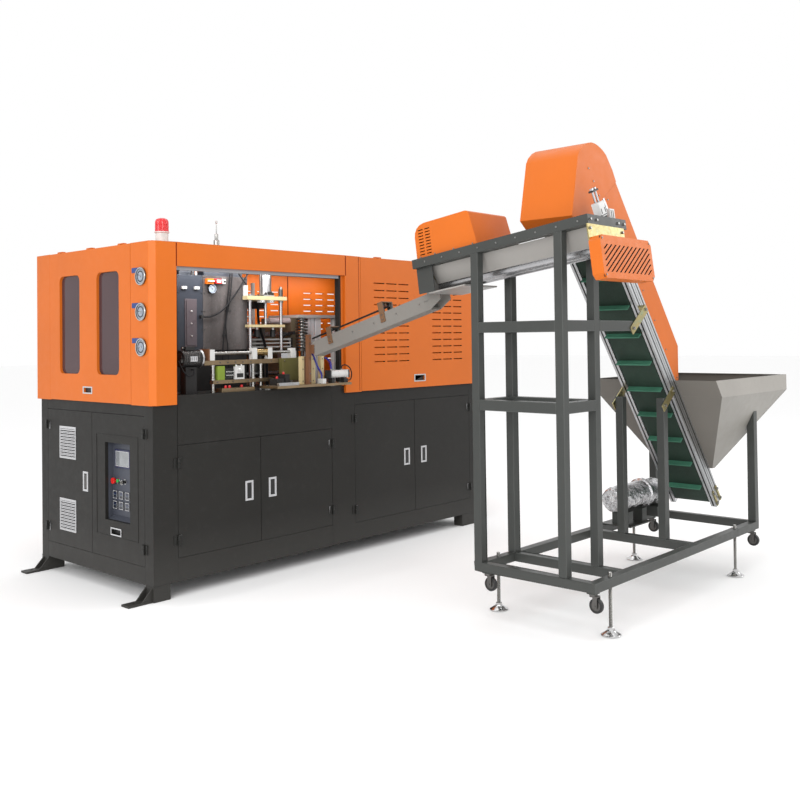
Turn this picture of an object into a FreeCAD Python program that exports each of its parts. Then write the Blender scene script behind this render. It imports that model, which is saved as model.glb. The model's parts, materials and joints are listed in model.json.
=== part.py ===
import FreeCAD, Part
import math
import os
import Sketcher
from FreeCAD import Placement, Rotation, Vector

# Blow moulding machine with an inclined bottle-blank loader.
# World axes: X runs to the right along the machine's front, Y away from the
# operator, Z up.  All sizes in millimetres.  The pieces are drawn from the
# near-left bottom corner of the cabinet and each finished piece is placed so
# that the origin is the middle of the footprint, on the floor.

doc = FreeCAD.newDocument("BlowMouldingMachine")
sheet = doc.addObject("Spreadsheet::Sheet", "Dims")


class Size:
    """A length with the expression that gives it from the sheet."""

    def __init__(self, value, text):
        self.v = float(value)
        self.t = text

    def __add__(self, o):
        o = size(o)
        return Size(self.v + o.v, "(%s + %s)" % (self.t, o.t))

    def __radd__(self, o):
        return size(o) + self

    def __sub__(self, o):
        o = size(o)
        return Size(self.v - o.v, "(%s - %s)" % (self.t, o.t))

    def __rsub__(self, o):
        return size(o) - self

    def __mul__(self, o):
        o = size(o)
        return Size(self.v * o.v, "(%s * %s)" % (self.t, o.t))

    def __rmul__(self, o):
        return size(o) * self

    def __truediv__(self, o):
        o = size(o)
        return Size(self.v / o.v, "(%s / %s)" % (self.t, o.t))

    def __neg__(self):
        return Size(-self.v, "(0 - %s)" % self.t)


def size(x):
    if isinstance(x, Size):
        return x
    return Size(x, "(%s)" % repr(round(float(x), 6)))


row = [1]


def dim(alias, value, note):
    r = row[0]
    sheet.set("A%d" % r, note)
    sheet.set("B%d" % r, repr(value))
    sheet.setAlias("B%d" % r, alias)
    row[0] += 1
    return Size(value, "Dims." + alias)


# ---------------------------------------------------------------- dimensions
org_x = dim("org_x", 1606.0, "middle of the footprint along X")
org_y = dim("org_y", -542.4, "middle of the footprint along Y")
# cabinet
cab_len = dim("cab_len", 2990.0, "cabinet length")
cab_dep = dim("cab_dep", 1373.0, "cabinet depth")
cab_base = dim("cab_base", 92.0, "underside of the cabinet above the floor")
cab_top = dim("cab_top", 1200.0, "deck height")
tube_in = dim("tube_in", 60.0, "depth of the cabinet frame sections")
st_a = dim("st_a", 166.0, "width of the left front stile")
st_b0 = dim("st_b0", 1410.0, "left edge of the middle stile")
st_b1 = dim("st_b1", 1630.0, "right edge of the middle stile")
st_c0 = dim("st_c0", 2925.0, "left edge of the right stile")
door_a_z0 = dim("door_a_z0", 231.0, "bottom of the first door pair")
door_a_z1 = dim("door_a_z1", 904.0, "top of the first door pair")
door_a_mid = dim("door_a_mid", 787.0, "meeting line of the first door pair")
door_b_z0 = dim("door_b_z0", 214.0, "bottom of the second door pair")
door_b_z1 = dim("door_b_z1", 1058.0, "top of the second door pair")
door_b_mid = dim("door_b_mid", 2262.0, "meeting line of the second door pair")
end_near = dim("end_near", 92.0, "near stile of the end face")
end_far = dim("end_far", 1286.0, "start of the far stile of the end face")
end_mid = dim("end_mid", 702.0, "meeting line of the end doors")
end_z0 = dim("end_z0", 195.0, "bottom of the end doors")
end_z1 = dim("end_z1", 1085.0, "top of the end doors")
leaf_t = dim("leaf_t", 22.0, "door leaf thickness")
leaf_gap = dim("leaf_gap", 2.0, "gap round each door leaf")
leg_x = dim("leg_x", 112.0, "leg width along X")
leg_y = dim("leg_y", 89.0, "leg width along Y")
foot_out = dim("foot_out", 155.0, "how far the anchor feet reach out")
foot_w = dim("foot_w", 80.0, "anchor foot width")
foot_t = dim("foot_t", 12.0, "anchor foot plate thickness")
anchor_r = dim("anchor_r", 9.0, "anchor hole radius")
anchor_in = dim("anchor_in", 100.0, "anchor hole from the cabinet end")
# hinges and latches
hg_r = dim("hg_r", 7.0, "hinge knuckle radius")
hg_out = dim("hg_out", 9.0, "hinge axis outside the leaf face")
hg_pin = dim("hg_pin", 3.0, "hinge pin radius")
hg_bore = dim("hg_bore", 3.05, "hinge bore radius")
hg_len = dim("hg_len", 28.0, "hinge knuckle length")
rh_r = dim("rh_r", 4.5, "roof hinge knuckle radius")
hg_wing = dim("hg_wing", 30.0, "hinge wing reach")
hg_t = dim("hg_t", 5.0, "hinge wing thickness")
la_w = dim("la_w", 62.0, "latch plate width")
la_h = dim("la_h", 126.0, "latch plate height")
# hood
hood_x0 = dim("hood_x0", -20.0, "hood left face")
hood_x1 = dim("hood_x1", 3010.0, "hood right face")
hood_y0 = dim("hood_y0", -24.0, "hood front face")
hood_y1 = dim("hood_y1", 1397.0, "hood back face")
hood_z0 = dim("hood_z0", 1148.0, "hood skirt")
hood_z1 = dim("hood_z1", 2120.0, "hood roof")
hood_t = dim("hood_t", 18.0, "hood panel thickness")
fas_z0 = dim("fas_z0", 1977.0, "underside of the fascia over the opening")
open_x1 = dim("open_x1", 1505.0, "right edge of the machine opening")
mid_x0 = dim("mid_x0", 1529.0, "left edge of the middle column")
mid_x1 = dim("mid_x1", 1681.0, "right edge of the middle column")
fr = dim("fr", 40.0, "upper frame tube")
# loader base and tower
tube = dim("tube", 50.0, "loader frame tube")
lb_x0 = dim("lb_x0", 977.0, "loader base left")
lb_x1 = dim("lb_x1", 3004.0, "loader base right")
lb_y0 = dim("lb_y0", -2378.0, "loader base near side")
lb_y1 = dim("lb_y1", -1613.0, "loader base far side")
lb_z0 = dim("lb_z0", 250.0, "loader base underside")
tw_x = dim("tw_x", 1284.0, "second pair of tower posts")
tw_y = dim("tw_y", -2211.0, "near row of tower posts")
cr_x = dim("cr_x", 2103.0, "cross rail of the middle posts")
rung_a = dim("rung_a", 1128.0, "lower rungs")
rung_b = dim("rung_b", 1551.0, "upper rungs")
rung_h = dim("rung_h", 58.0, "rung height")
# sorter table, tilted about X
so_ang = dim("so_ang", 7.5, "tilt of the sorter table in degrees")
so_y = dim("so_y", -2365.0, "near end of the sorter table")
so_z = dim("so_z", 2136.0, "top of the sorter table at its near end")
so_len = dim("so_len", 1200.0, "sorter table length")
so_x0 = dim("so_x0", 977.0, "sorter table left")
so_x1 = dim("so_x1", 1355.0, "sorter table right")
so_t = dim("so_t", 52.0, "sorter table depth")
ro_r = dim("ro_r", 27.0, "sorter roller radius")
ro_xa = dim("ro_xa", 1126.0, "left sorter roller axis")
ro_xb = dim("ro_xb", 1206.0, "right sorter roller axis")
ro_w = dim("ro_w", -163.0, "roller axes below the table top")
ro_s = dim("ro_s", 10.0, "roller shaft radius")
ro_bore = dim("ro_bore", 10.05, "roller bearing bore radius")
# chute, tilted about X
ch_ang = dim("ch_ang", 15.1, "fall of the chute in degrees")
ch_y = dim("ch_y", -122.0, "low end of the chute")
ch_z = dim("ch_z", 1509.0, "top edge of the chute at its low end")
ch_x = dim("ch_x", 1124.0, "near face of the chute")
ch_w = dim("ch_w", 84.0, "chute width")
ch_h = dim("ch_h", 83.0, "chute side height")
ch_len = dim("ch_len", 1079.0, "chute length")
# elevator, tilted about Y
el_ang = dim("el_ang", 52.3, "elevator slope in degrees")
el_x = dim("el_x", 2166.0, "point on the underside of the rails, X")
el_z = dim("el_z", 1230.0, "point on the underside of the rails, Z")
el_lo = dim("el_lo", -1055.0, "low end of the rails along the slope")
el_hi = dim("el_hi", 1500.0, "high end of the rails along the slope")
el_h = dim("el_h", 85.0, "rail depth")
el_y0 = dim("el_y0", -2178.0, "near rail outer face")
el_y1 = dim("el_y1", -1848.0, "far rail outer face")
el_w = dim("el_w", 40.0, "rail width")
dr_r = dim("dr_r", 38.0, "belt drum radius")
dr_s = dim("dr_s", 12.5, "drum shaft radius")
dr_bore = dim("dr_bore", 12.58, "drum bearing bore radius")
dr_hi = dim("dr_hi", 1440.0, "head drum along the slope")
dr_lo = dim("dr_lo", -1000.0, "tail drum along the slope")
be_w = dim("be_w", 240.0, "belt width")
be_t = dim("be_t", 2.7, "belt thickness")
cl_h = dim("cl_h", 36.0, "cleat height")
cl_pitch = dim("cl_pitch", 208.6, "cleat pitch")
# hopper
hp_x1 = dim("hp_x1", 3367.0, "hopper outer end")
hp_y0 = dim("hp_y0", -2440.0, "hopper near side")
hp_y1 = dim("hp_y1", -1586.0, "hopper far side")
hp_rim = dim("hp_rim", 1248.0, "hopper rim")
hp_band = dim("hp_band", 1146.0, "foot of the hopper's upright band")
hp_bx = dim("hp_bx", 2735.0, "hopper bottom edge")
hp_bz = dim("hp_bz", 648.0, "hopper bottom height")
hp_by = dim("hp_by", 177.0, "half width of the hopper bottom")
hp_t = dim("hp_t", 3.0, "hopper sheet")
hp_gap = dim("hp_gap", 85.0, "belt-side hopper sheet above the rail underside")
# casters and feet
ca_r = dim("ca_r", 38.0, "caster wheel radius")
ca_axle = dim("ca_axle", 4.0, "caster axle radius")
ca_bore = dim("ca_bore", 4.08, "caster wheel bore radius")
ca_trail = dim("ca_trail", 18.0, "caster trail")
fo_r = dim("fo_r", 52.0, "levelling pad radius")
fo_s = dim("fo_s", 10.0, "levelling stud radius")
fo_c = dim("fo_c", 10.3, "clearance half width round the stud")
doc.recompute()

# ------------------------------------------------------------------ helpers
used = {}


def label(name):
    used[name] = used.get(name, 0) + 1
    return name if used[name] == 1 else "%s_%d" % (name, used[name])


def bind(obj, prop, q):
    obj.setExpression(prop, size(q).t)


def place(obj, x, y, z, rot=None, angle=None):
    if rot is not None:
        obj.Placement = Placement(Vector(0, 0, 0), rot)
    bind(obj, "Placement.Base.x", x)
    bind(obj, "Placement.Base.y", y)
    bind(obj, "Placement.Base.z", z)
    if angle is not None:
        bind(obj, "Placement.Rotation.Angle", angle)


def box(name, x0, x1, y0, y1, z0, z1):
    o = doc.addObject("Part::Box", label(name))
    bind(o, "Length", size(x1) - x0)
    bind(o, "Width", size(y1) - y0)
    bind(o, "Height", size(z1) - z0)
    place(o, x0, y0, z0)
    return o


TURN = {"Z": Rotation(), "X": Rotation(Vector(0, 1, 0), 90), "Y": Rotation(Vector(1, 0, 0), -90)}


def cyl(name, axis, r, x, y, z, length):
    """Cylinder that starts at x, y, z and runs along + axis."""
    o = doc.addObject("Part::Cylinder", label(name))
    bind(o, "Radius", r)
    bind(o, "Height", length)
    place(o, x, y, z, TURN[axis])
    return o


def cone(name, r1, r2, x, y, z, length):
    o = doc.addObject("Part::Cone", label(name))
    bind(o, "Radius1", r1)
    bind(o, "Radius2", r2)
    bind(o, "Height", length)
    place(o, x, y, z)
    return o


def cut(name, base, *tools):
    if len(tools) > 1:
        t = doc.addObject("Part::MultiFuse", label(name + "_tools"))
        t.Shapes = list(tools)
    else:
        t = tools[0]
    o = doc.addObject("Part::Cut", label(name))
    o.Base = base
    o.Tool = t
    return o


def fuse(name, *parts):
    o = doc.addObject("Part::MultiFuse", label(name))
    o.Shapes = list(parts)
    return o


def group(name, parts):
    o = doc.addObject("Part::Compound", label(name))
    o.Links = list(parts)
    return o


def ring(name, axis, ro, ri, x, y, z, length):
    return cut(name, cyl(name + "_outer", axis, ro, x, y, z, length), cyl(name + "_bore", axis, ri, x, y, z, length))


def plane_of(body, role):
    return [f for f in body.Origin.OriginFeatures if f.Role == role][0]


def outline(body, name, plane, pts):
    """Closed straight-sided sketch, each corner held from the origin."""
    sk = body.newObject("Sketcher::SketchObject", name)
    sk.AttachmentSupport = [(plane_of(body, plane + "_Plane"), "")]
    sk.MapMode = "FlatFace"
    loops = pts if isinstance(pts[0], list) else [pts]
    first = 0
    for loop in loops:
        n = len(loop)
        q = [(size(a), size(b)) for a, b in loop]
        for i in range(n):
            a, b = q[i], q[(i + 1) % n]
            sk.addGeometry(Part.LineSegment(Vector(a[0].v, a[1].v, 0), Vector(b[0].v, b[1].v, 0)), False)
        for i in range(n):
            sk.addConstraint(Sketcher.Constraint("Coincident", first + i, 2, first + (i + 1) % n, 1))
        for i in range(n):
            k = sk.addConstraint(Sketcher.Constraint("DistanceX", -1, 1, first + i, 1, q[i][0].v))
            sk.setExpression("Constraints[%d]" % k, q[i][0].t)
            k = sk.addConstraint(Sketcher.Constraint("DistanceY", -1, 1, first + i, 1, q[i][1].v))
            sk.setExpression("Constraints[%d]" % k, q[i][1].t)
        first += n
    return sk


def prism(name, plane, pts, at, length):
    """PartDesign body: a straight-sided profile padded from 'at'.

    XY profiles run up +Z, XZ profiles run along +Y, YZ profiles along +X.
    """
    body = doc.addObject("PartDesign::Body", label(name))
    sk = outline(body, label(name + "_sketch"), plane, pts)
    pad = body.newObject("PartDesign::Pad", label(name + "_pad"))
    pad.Profile = sk
    bind(pad, "Length", length)
    pad.Reversed = plane == "XZ"
    bind(body, {"XY": "Placement.Base.z", "XZ": "Placement.Base.y", "YZ": "Placement.Base.x"}[plane], at)
    return body


def pocket(body, name, plane, pts, depth, flip=False, rows=None):
    """Cut a profile into a body from its sketch plane, optionally repeated up
    the sketch's vertical axis: rows = (count, total length)."""
    sk = outline(body, label(name + "_sketch"), plane, pts)
    pk = body.newObject("PartDesign::Pocket", label(name))
    pk.Profile = sk
    bind(pk, "Length", depth)
    pk.Reversed = flip
    if rows:
        lp = body.newObject("PartDesign::LinearPattern", label(name + "_rows"))
        lp.Originals = [pk]
        lp.Direction = (sk, ["V_Axis"])
        bind(lp, "Length", rows[1])
        lp.Occurrences = rows[0]
        body.Tip = lp
    else:
        body.Tip = pk
    return body


def rect(a0, a1, b0, b1):
    return [(a0, b0), (a1, b0), (a1, b1), (a0, b1)]


def rounded(a0, a1, b0, b1, r, n=5):
    """Rounded rectangle as short straight steps."""
    pts = []
    for cx, cy, s in ((a1, b1, 0), (a0, b1, 1), (a0, b0, 2), (a1, b0, 3)):
        sx = (-1, 1, 1, -1)[s]
        sy = (-1, -1, 1, 1)[s]
        for i in range(n + 1):
            a = math.radians(90.0 * (s + i / float(n)))
            pts.append((size(cx) + sx * size(r) + size(r) * round(math.cos(a), 5),
                        size(cy) + sy * size(r) + size(r) * round(math.sin(a), 5)))
    return pts


def solid_from(name, faces):
    """Closed flat-faced solid from its faces (Part's own functions)."""
    made = []
    for f in faces:
        made.append(Part.Face(Part.makePolygon([Vector(*p) for p in f] + [Vector(*f[0])])))
    shell = Part.Shell(made)
    shell.sewShape()
    s = Part.Solid(shell)
    if s.Volume < 0:
        s.reverse()
    o = doc.addObject("Part::Feature", label(name))
    o.Shape = s
    return o


def slab(name, outer, inner):
    """Sheet between two matching outlines: mitred edges."""
    n = len(outer)
    faces = [list(outer), list(reversed(inner))]
    for i in range(n):
        j = (i + 1) % n
        faces.append([outer[j], outer[i], inner[i], inner[j]])
    return solid_from(name, faces)


NODES = []


def node(name, parts):
    """One named piece of the machine, placed from the middle of the footprint."""
    o = doc.addObject("Part::Compound", name)
    o.Label = name
    o.Links = list(parts)
    place(o, -org_x, -org_y, 0)
    NODES.append(o)
    return o


AX = {"X": (1, 0, 0), "Y": (0, 1, 0), "Z": (0, 0, 1)}


def dbox(name, org, dirs, ranges):
    """Box from ranges along three signed world directions, measured from org."""
    lo = [None, None, None]
    hi = [None, None, None]
    for d, (a, b) in zip(dirs, ranges):
        k = "XYZ".index(d[1])
        a, b = size(a), size(b)
        if d[0] == "-":
            a, b = -b, -a
        lo[k] = size(org[k]) + a
        hi[k] = size(org[k]) + b
    return box(name, lo[0], hi[0], lo[1], hi[1], lo[2], hi[2])


def dcyl(name, org, d, a0, a1, r):
    """Cylinder on the axis through org, from a0 to a1 along signed direction d."""
    k = "XYZ".index(d[1])
    a, b = size(a0), size(a1)
    if d[0] == "-":
        a, b = -b, -a
    p = [size(org[0]), size(org[1]), size(org[2])]
    p[k] = p[k] + a
    return cyl(name, d[1], r, p[0], p[1], p[2], b - a)


def hinge(name, org, along, leaf, inward):
    """Lift-off hinge.  org is on the pin axis at the foot of the hinge, 'along'
    runs up the pin, 'leaf' towards the leaf and 'inward' into the machine.
    Returns the fixed half and the leaf half."""
    anti = ("+" if leaf[0] == "-" else "-") + leaf[1]
    w0, w1 = hg_r + 1.5, hg_wing
    fixed = [
        dbox(name + "_wing", org, (along, anti, inward), ((0, hg_len * 2 + 1), (w0, w1), (hg_out - hg_t, hg_out))),
        fuse(name + "_knuckle",
             dbox(name + "_cheek", org, (along, anti, inward), ((0, hg_len), (0, w0), (-hg_r, hg_r))),
             dcyl(name + "_barrel", org, along, 0, hg_len, hg_r)),
        dcyl(name + "_pin", org, along, hg_len, hg_len * 2 - 3, hg_pin)]
    moving = [
        dbox(name + "_leaf_wing", org, (along, leaf, inward), ((0, hg_len * 2 + 1), (w0, w1), (hg_out - hg_t, hg_out))),
        cut(name + "_leaf_knuckle",
            fuse(name + "_leaf_body",
                 dbox(name + "_leaf_cheek", org, (along, leaf, inward), ((hg_len + 1, hg_len * 2 + 1), (0, w0), (-hg_r, hg_r))),
                 dcyl(name + "_leaf_barrel", org, along, hg_len + 1, hg_len * 2 + 1, hg_r)),
            dcyl(name + "_leaf_bore", org, along, hg_len, hg_len * 2 - 2, hg_bore))]
    return fixed, moving


frame_parts = []

# ------------------------------------------------------------ cabinet frame
fp = frame_parts
C0, C1 = cab_base, cab_top
T = tube_in
fp += [
    box("front_stile_left", 0, st_a, 0, T, C0, C1),
    box("front_stile_middle", st_b0, st_b1, 0, T, C0, C1),
    box("front_stile_right", st_c0, cab_len, 0, T, C0, C1),
    box("front_bottom_rail_a", st_a, st_b0, 0, T, C0, door_a_z0),
    box("front_bottom_rail_b", st_b1, st_c0, 0, T, C0, door_b_z0),
    box("front_top_rail_a", st_a, st_b0, 0, T, door_a_z1, C1),
    box("front_top_rail_b", st_b1, st_c0, 0, T, door_b_z1, C1),
    box("end_stile_near", 0, T, T, end_near, C0, C1),
    box("end_stile_far", 0, T, end_far, cab_dep, C0, C1),
    box("end_bottom_rail", 0, T, end_near, end_far, C0, end_z0),
    box("end_top_rail", 0, T, end_near, end_far, end_z1, C1),
    box("back_stile_left", T, st_a, cab_dep - T, cab_dep, C0, C1),
    box("back_stile_middle", st_b0, st_b1, cab_dep - T, cab_dep, C0, C1),
    box("back_stile_right", st_c0, cab_len, cab_dep - T, cab_dep, C0, C1),
    box("back_bottom_rail_a", st_a, st_b0, cab_dep - T, cab_dep, C0, door_b_z0),
    box("back_bottom_rail_b", st_b1, st_c0, cab_dep - T, cab_dep, C0, door_b_z0),
    box("back_top_rail_a", st_a, st_b0, cab_dep - T, cab_dep, door_b_z1, C1),
    box("back_top_rail_b", st_b1, st_c0, cab_dep - T, cab_dep, door_b_z1, C1),
    box("right_bottom_rail", cab_len - T, cab_len, T, cab_dep - T, C0, end_z0),
    box("right_top_rail", cab_len - T, cab_len, T, cab_dep - T, end_z1, C1),
    box("deck_bearer", 1490, 1550, T, cab_dep - T, end_z1, C1 - 12),
    box("leg_front_left", 0, leg_x, 0, leg_y, 0, C0),
    box("leg_back_left", 0, leg_x, cab_dep - leg_y, cab_dep, 0, C0),
    box("leg_front_right", cab_len - leg_x - 56, cab_len, 0, leg_y, 0, C0),
    box("leg_back_right", cab_len - leg_x - 56, cab_len, cab_dep - leg_y, cab_dep, 0, C0),
]
# upper frame that carries the hood
F, H1 = fr, hood_z1 - 8
for nm, x0, y0 in (("left_front", 0, 0), ("left_back", 0, cab_dep - F), ("middle_front", 1488, 0),
                   ("middle_back", 1488, cab_dep - F), ("right_front", cab_len - F, 0),
                   ("right_back", cab_len - F, cab_dep - F)):
    fp.append(box("upper_post_" + nm, x0, size(x0) + F, y0, size(y0) + F, C1, H1))
fp += [
    box("upper_rail_front_a", F, 1488, 0, F, H1 - F, H1),
    box("upper_rail_front_b", 1528, cab_len - F, 0, F, H1 - F, H1),
    box("upper_rail_back_a", F, 1488, cab_dep - F, cab_dep, H1 - F, H1),
    box("upper_rail_back_b", 1528, cab_len - F, cab_dep - F, cab_dep, H1 - F, H1),
    box("upper_rail_left", 0, F, F, cab_dep - F, H1 - F, H1),
    box("upper_rail_middle", 1488, 1528, F, cab_dep - F, H1 - F, H1),
    box("upper_rail_right", cab_len - F, cab_len, F, cab_dep - F, H1 - F, H1),
    box("lintel_rail", F, 1488, 0, 20, fas_z0 - 22, fas_z0 + 20),
    box("sill_rail", 1528, cab_len - F, 0, F, C1, C1 + F),
]

# -------------------------------------------------------------- front doors
doors = {}


def leaf_slots(cx, z0, z1):
    """Latch cut-out in a leaf, as x range and z range."""
    return rect(cx - 20, cx + 20, z0 + 11, z1 - 11)


def latch_parts(name, org, side, up, inward, w, h_, leaf_depth):
    """Latch: face bezel and back cup on the leaf, and the swinging paddle."""
    a, u, n = side, up, inward
    hw, hh = w / 2, h_ / 2
    bezel = [
        dbox(name + "_bezel_low", org, (a, u, n), ((-hw, hw), (-hh, -hh + 13), (-3, 0))),
        dbox(name + "_bezel_high", org, (a, u, n), ((-hw, hw), (hh - 13, hh), (-3, 0))),
        dbox(name + "_bezel_left", org, (a, u, n), ((-hw, -18), (-hh + 13, hh - 13), (-3, 0))),
        dbox(name + "_bezel_right", org, (a, u, n), ((18, hw), (-hh + 13, hh - 13), (-3, 0))),
        dbox(name + "_cup", org, (a, u, n), ((-20, 20), (-hh + 11, hh - 11), (leaf_depth - 3, leaf_depth))),
    ]
    pin_at = (size(org[0]), size(org[1]), size(org[2]) + hh - 19)
    pin_at = (pin_at[0] + (1 if n[1] == "X" else 0), pin_at[1] + (1 if n[1] == "Y" else 0), pin_at[2])
    paddle = [fuse(name, dbox(name + "_plate", org, (a, u, n), ((-16, 16), (-hh + 17, hh - 17), (-1, 3))),
                   dcyl(name + "_pin", pin_at, a, -17.5, 17.5, 2.6))]
    return bezel, paddle


# name, left edge, right edge, z0, z1, hinge side, latch centre x, latch z0, hinge heights
FRONT = (
    ("1", st_a, door_a_mid, door_a_z0, door_a_z1, "L", 693.0, 504.0, (770.0, 310.0)),
    ("2", door_a_mid, st_b0, door_a_z0, door_a_z1, "R", 881.0, 504.0, (770.0, 310.0)),
    ("3", st_b1, door_b_mid, door_b_z0, door_b_z1, "L", 2173.0, 569.0, (930.0, 280.0)),
    ("4", door_b_mid, st_c0, door_b_z0, door_b_z1, "R", 2364.0, 569.0, (930.0, 280.0)),
)
front_leaves, front_latches = [], []
for nm, xa, xb, za, zb, hand, lx, lz, hzs in FRONT:
    leaf = prism("leaf_" + nm, "XZ", rect(xa + leaf_gap, xb - leaf_gap, za + leaf_gap, zb - leaf_gap), 0, leaf_t)
    pocket(leaf, "latch_hole_" + nm, "XZ", leaf_slots(lx, size(lz), size(lz) + la_h), leaf_t, flip=False)
    bezel, paddle = latch_parts("latch_" + nm, (lx, 0, size(lz) + la_h / 2), "+X", "+Z", "+Y", la_w, la_h, leaf_t)
    halves = []
    for hz in hzs:
        org = (xa if hand == "L" else xb, -hg_out, hz)
        f_, m_ = hinge("hinge_%s" % nm, org, "+Z", "+X" if hand == "L" else "-X", "+Y")
        fp += f_
        halves += m_
    front_leaves.append(("front_door_" + nm, [leaf] + bezel + halves))
    front_latches.append(("front_latch_" + nm, paddle))

# ---------------------------------------------------------------- end doors
leaf = prism("end_leaf_left", "YZ", rect(end_mid + leaf_gap, end_far - leaf_gap, end_z0 + leaf_gap, end_z1 - leaf_gap), 0, leaf_t)
pocket(leaf, "end_latch_hole", "YZ", rect(763.5, 803.5, 575 + 11, 692 - 11 + 9), leaf_t, flip=True)
for k, (g0, g1) in enumerate(((293.0, 503.0), (766.0, 977.0))):
    slots = [rect(915, 1112, g0 + 14 + 20.5 * i, g0 + 20 + 20.5 * i) for i in range(9)]
    pocket(leaf, "vent_slots_%d" % k, "YZ", slots, leaf_t, flip=True)
bezel, paddle = latch_parts("end_latch", (0, 783.5, 638.0), "+Y", "+Z", "+X", la_w, la_h, leaf_t)
halves = []
for hz in (950.0, 270.0):
    f_, m_ = hinge("end_hinge_left", (-hg_out, end_far, hz), "+Z", "-Y", "+X")
    fp += f_
    halves += m_
end_left = [leaf] + bezel + halves
for k, (g0, g1) in enumerate(((293.0, 503.0), (766.0, 977.0))):
    end_left += [box("grille_rim", -3, 0, 907, 1120, g0, g0 + 8), box("grille_rim", -3, 0, 907, 1120, g1 - 8, g1),
                 box("grille_rim", -3, 0, 907, 915, g0 + 8, g1 - 8), box("grille_rim", -3, 0, 1112, 1120, g0 + 8, g1 - 8)]
end_latch = paddle

leaf = prism("end_leaf_right", "YZ", rect(end_near + leaf_gap, end_mid - leaf_gap, end_z0 + leaf_gap, end_z1 - leaf_gap), 0, leaf_t)
pocket(leaf, "console_hole", "YZ", rect(255, 543, 427, 905), leaf_t, flip=True)
pocket(leaf, "console_handle_hole", "YZ", rect(360, 468, 346, 378), leaf_t, flip=True)
halves = []
for hz in (950.0, 270.0):
    f_, m_ = hinge("end_hinge_right", (-hg_out, end_near, hz), "+Z", "+Y", "+X")
    fp += f_
    halves += m_
end_right = [leaf] + halves + [
    # console box behind the opening, sloping shelf at its foot
    box("console_wall_near", leaf_t, 60, 251, 255, 423, 909),
    box("console_wall_far", leaf_t, 60, 543, 547, 423, 909),
    box("console_roof", leaf_t, 60, 255, 543, 905, 909),
    prism("console_shelf", "XZ", [(leaf_t, 423), (60, 423), (60, 447), (leaf_t, 427)], 255, 288),
    box("handle_rim_low", -3, 0, 352, 476, 338, 346), box("handle_rim_high", -3, 0, 352, 476, 378, 386),
    box("handle_rim_near", -3, 0, 352, 360, 346, 378), box("handle_rim_far", -3, 0, 468, 476, 346, 378),
    box("handle_cup", leaf_t - 3, leaf_t, 360, 468, 346, 378),
    # proud frame of the console
    box("console_trim_near", -2, 0, 163, 166, 329, 955), box("console_trim_far", -2, 0, 643, 646, 329, 955),
    box("console_trim_low", -2, 0, 166, 643, 329, 332), box("console_trim_high", -2, 0, 166, 643, 952, 955),
]
BX = 56  # face of the instrument plate
ctl = [
    cut("instrument_plate", box("instrument_sheet", BX, 60, 255, 543, 447, 905),
        cyl("stop_hole", "X", 8.3, BX - 1, 515, 662, 8), cyl("start_hole", "X", 8.3, BX - 1, 478, 663, 8),
        cyl("key_hole", "X", 8.3, BX - 1, 440, 655, 8), cyl("selector_hole", "X", 8.3, BX - 1, 400, 663, 8)),
    cut("screen_bezel", box("screen_case", BX - 8, BX, 338, 508, 745, 860), box("screen_window", BX - 9, BX - 5, 350, 496, 759, 846)),
    box("screen_glass", BX - 7, BX - 5, 350, 496, 759, 846),
]
for i, yy in enumerate((511.0, 441.0, 371.0)):
    for zz in (576.0, 512.0):
        ctl.append(box("temperature_controller", BX - 7, BX, yy - 24, yy + 24, zz - 24, zz + 24))
for yy, zz in ((515, 662), (478, 663), (440, 655), (400, 663)):
    ctl.append(ring("button_collar", "X", 15.5, 11.5, BX - 4, yy, zz, 4))
    ctl.append(box("contact_block", 72, 100, yy - 14, yy + 14, zz - 20, zz + 20))


def button(name, y, z, head_r, proud, head_t):
    """Head and stem as one turned piece; the stem slides in the plate hole."""
    return [fuse(name, cyl(name + "_head", "X", head_r, BX - proud, y, z, head_t),
                 cyl(name + "_stem", "X", 8, BX - proud + head_t, y, z, proud - head_t + 8))]


# ----------------------------------------------------------- cabinet panels
cabinet_panels = [
    box("floor_pan", T, cab_len - T, T, cab_dep - T, C0, C0 + 4),
    box("deck_plate", T, cab_len - T, T, cab_dep - T, C1 - 12, C1),
    box("back_panel_a", st_a, st_b0, cab_dep - 30, cab_dep - 26, door_b_z0, door_b_z1),
    box("back_panel_b", st_b1, st_c0, cab_dep - 30, cab_dep - 26, door_b_z0, door_b_z1),
    box("right_panel", cab_len - 34, cab_len - 30, T, cab_dep - T, end_z0, end_z1),
    # electrical mounting plate on stand-offs, with its modules
    box("mounting_plate", 1700, 2850, 1200, 1205, 260, 1000),
    box("standoff", 1740, 1770, 1205, cab_dep - 30, 300, 330), box("standoff", 2780, 2810, 1205, cab_dep - 30, 300, 330),
    box("standoff", 1740, 1770, 1205, cab_dep - 30, 930, 960), box("standoff", 2780, 2810, 1205, cab_dep - 30, 930, 960),
    box("drive_module", 1760, 1900, 1060, 1200, 640, 940), box("drive_module", 1920, 2060, 1060, 1200, 640, 940),
    box("controller_module", 2120, 2420, 1110, 1200, 700, 900), box("supply_module", 2480, 2640, 1090, 1200, 700, 900),
    box("breaker_row", 1760, 2300, 1130, 1200, 400, 490), box("terminal_row", 2360, 2780, 1160, 1200, 400, 460),
]

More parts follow.
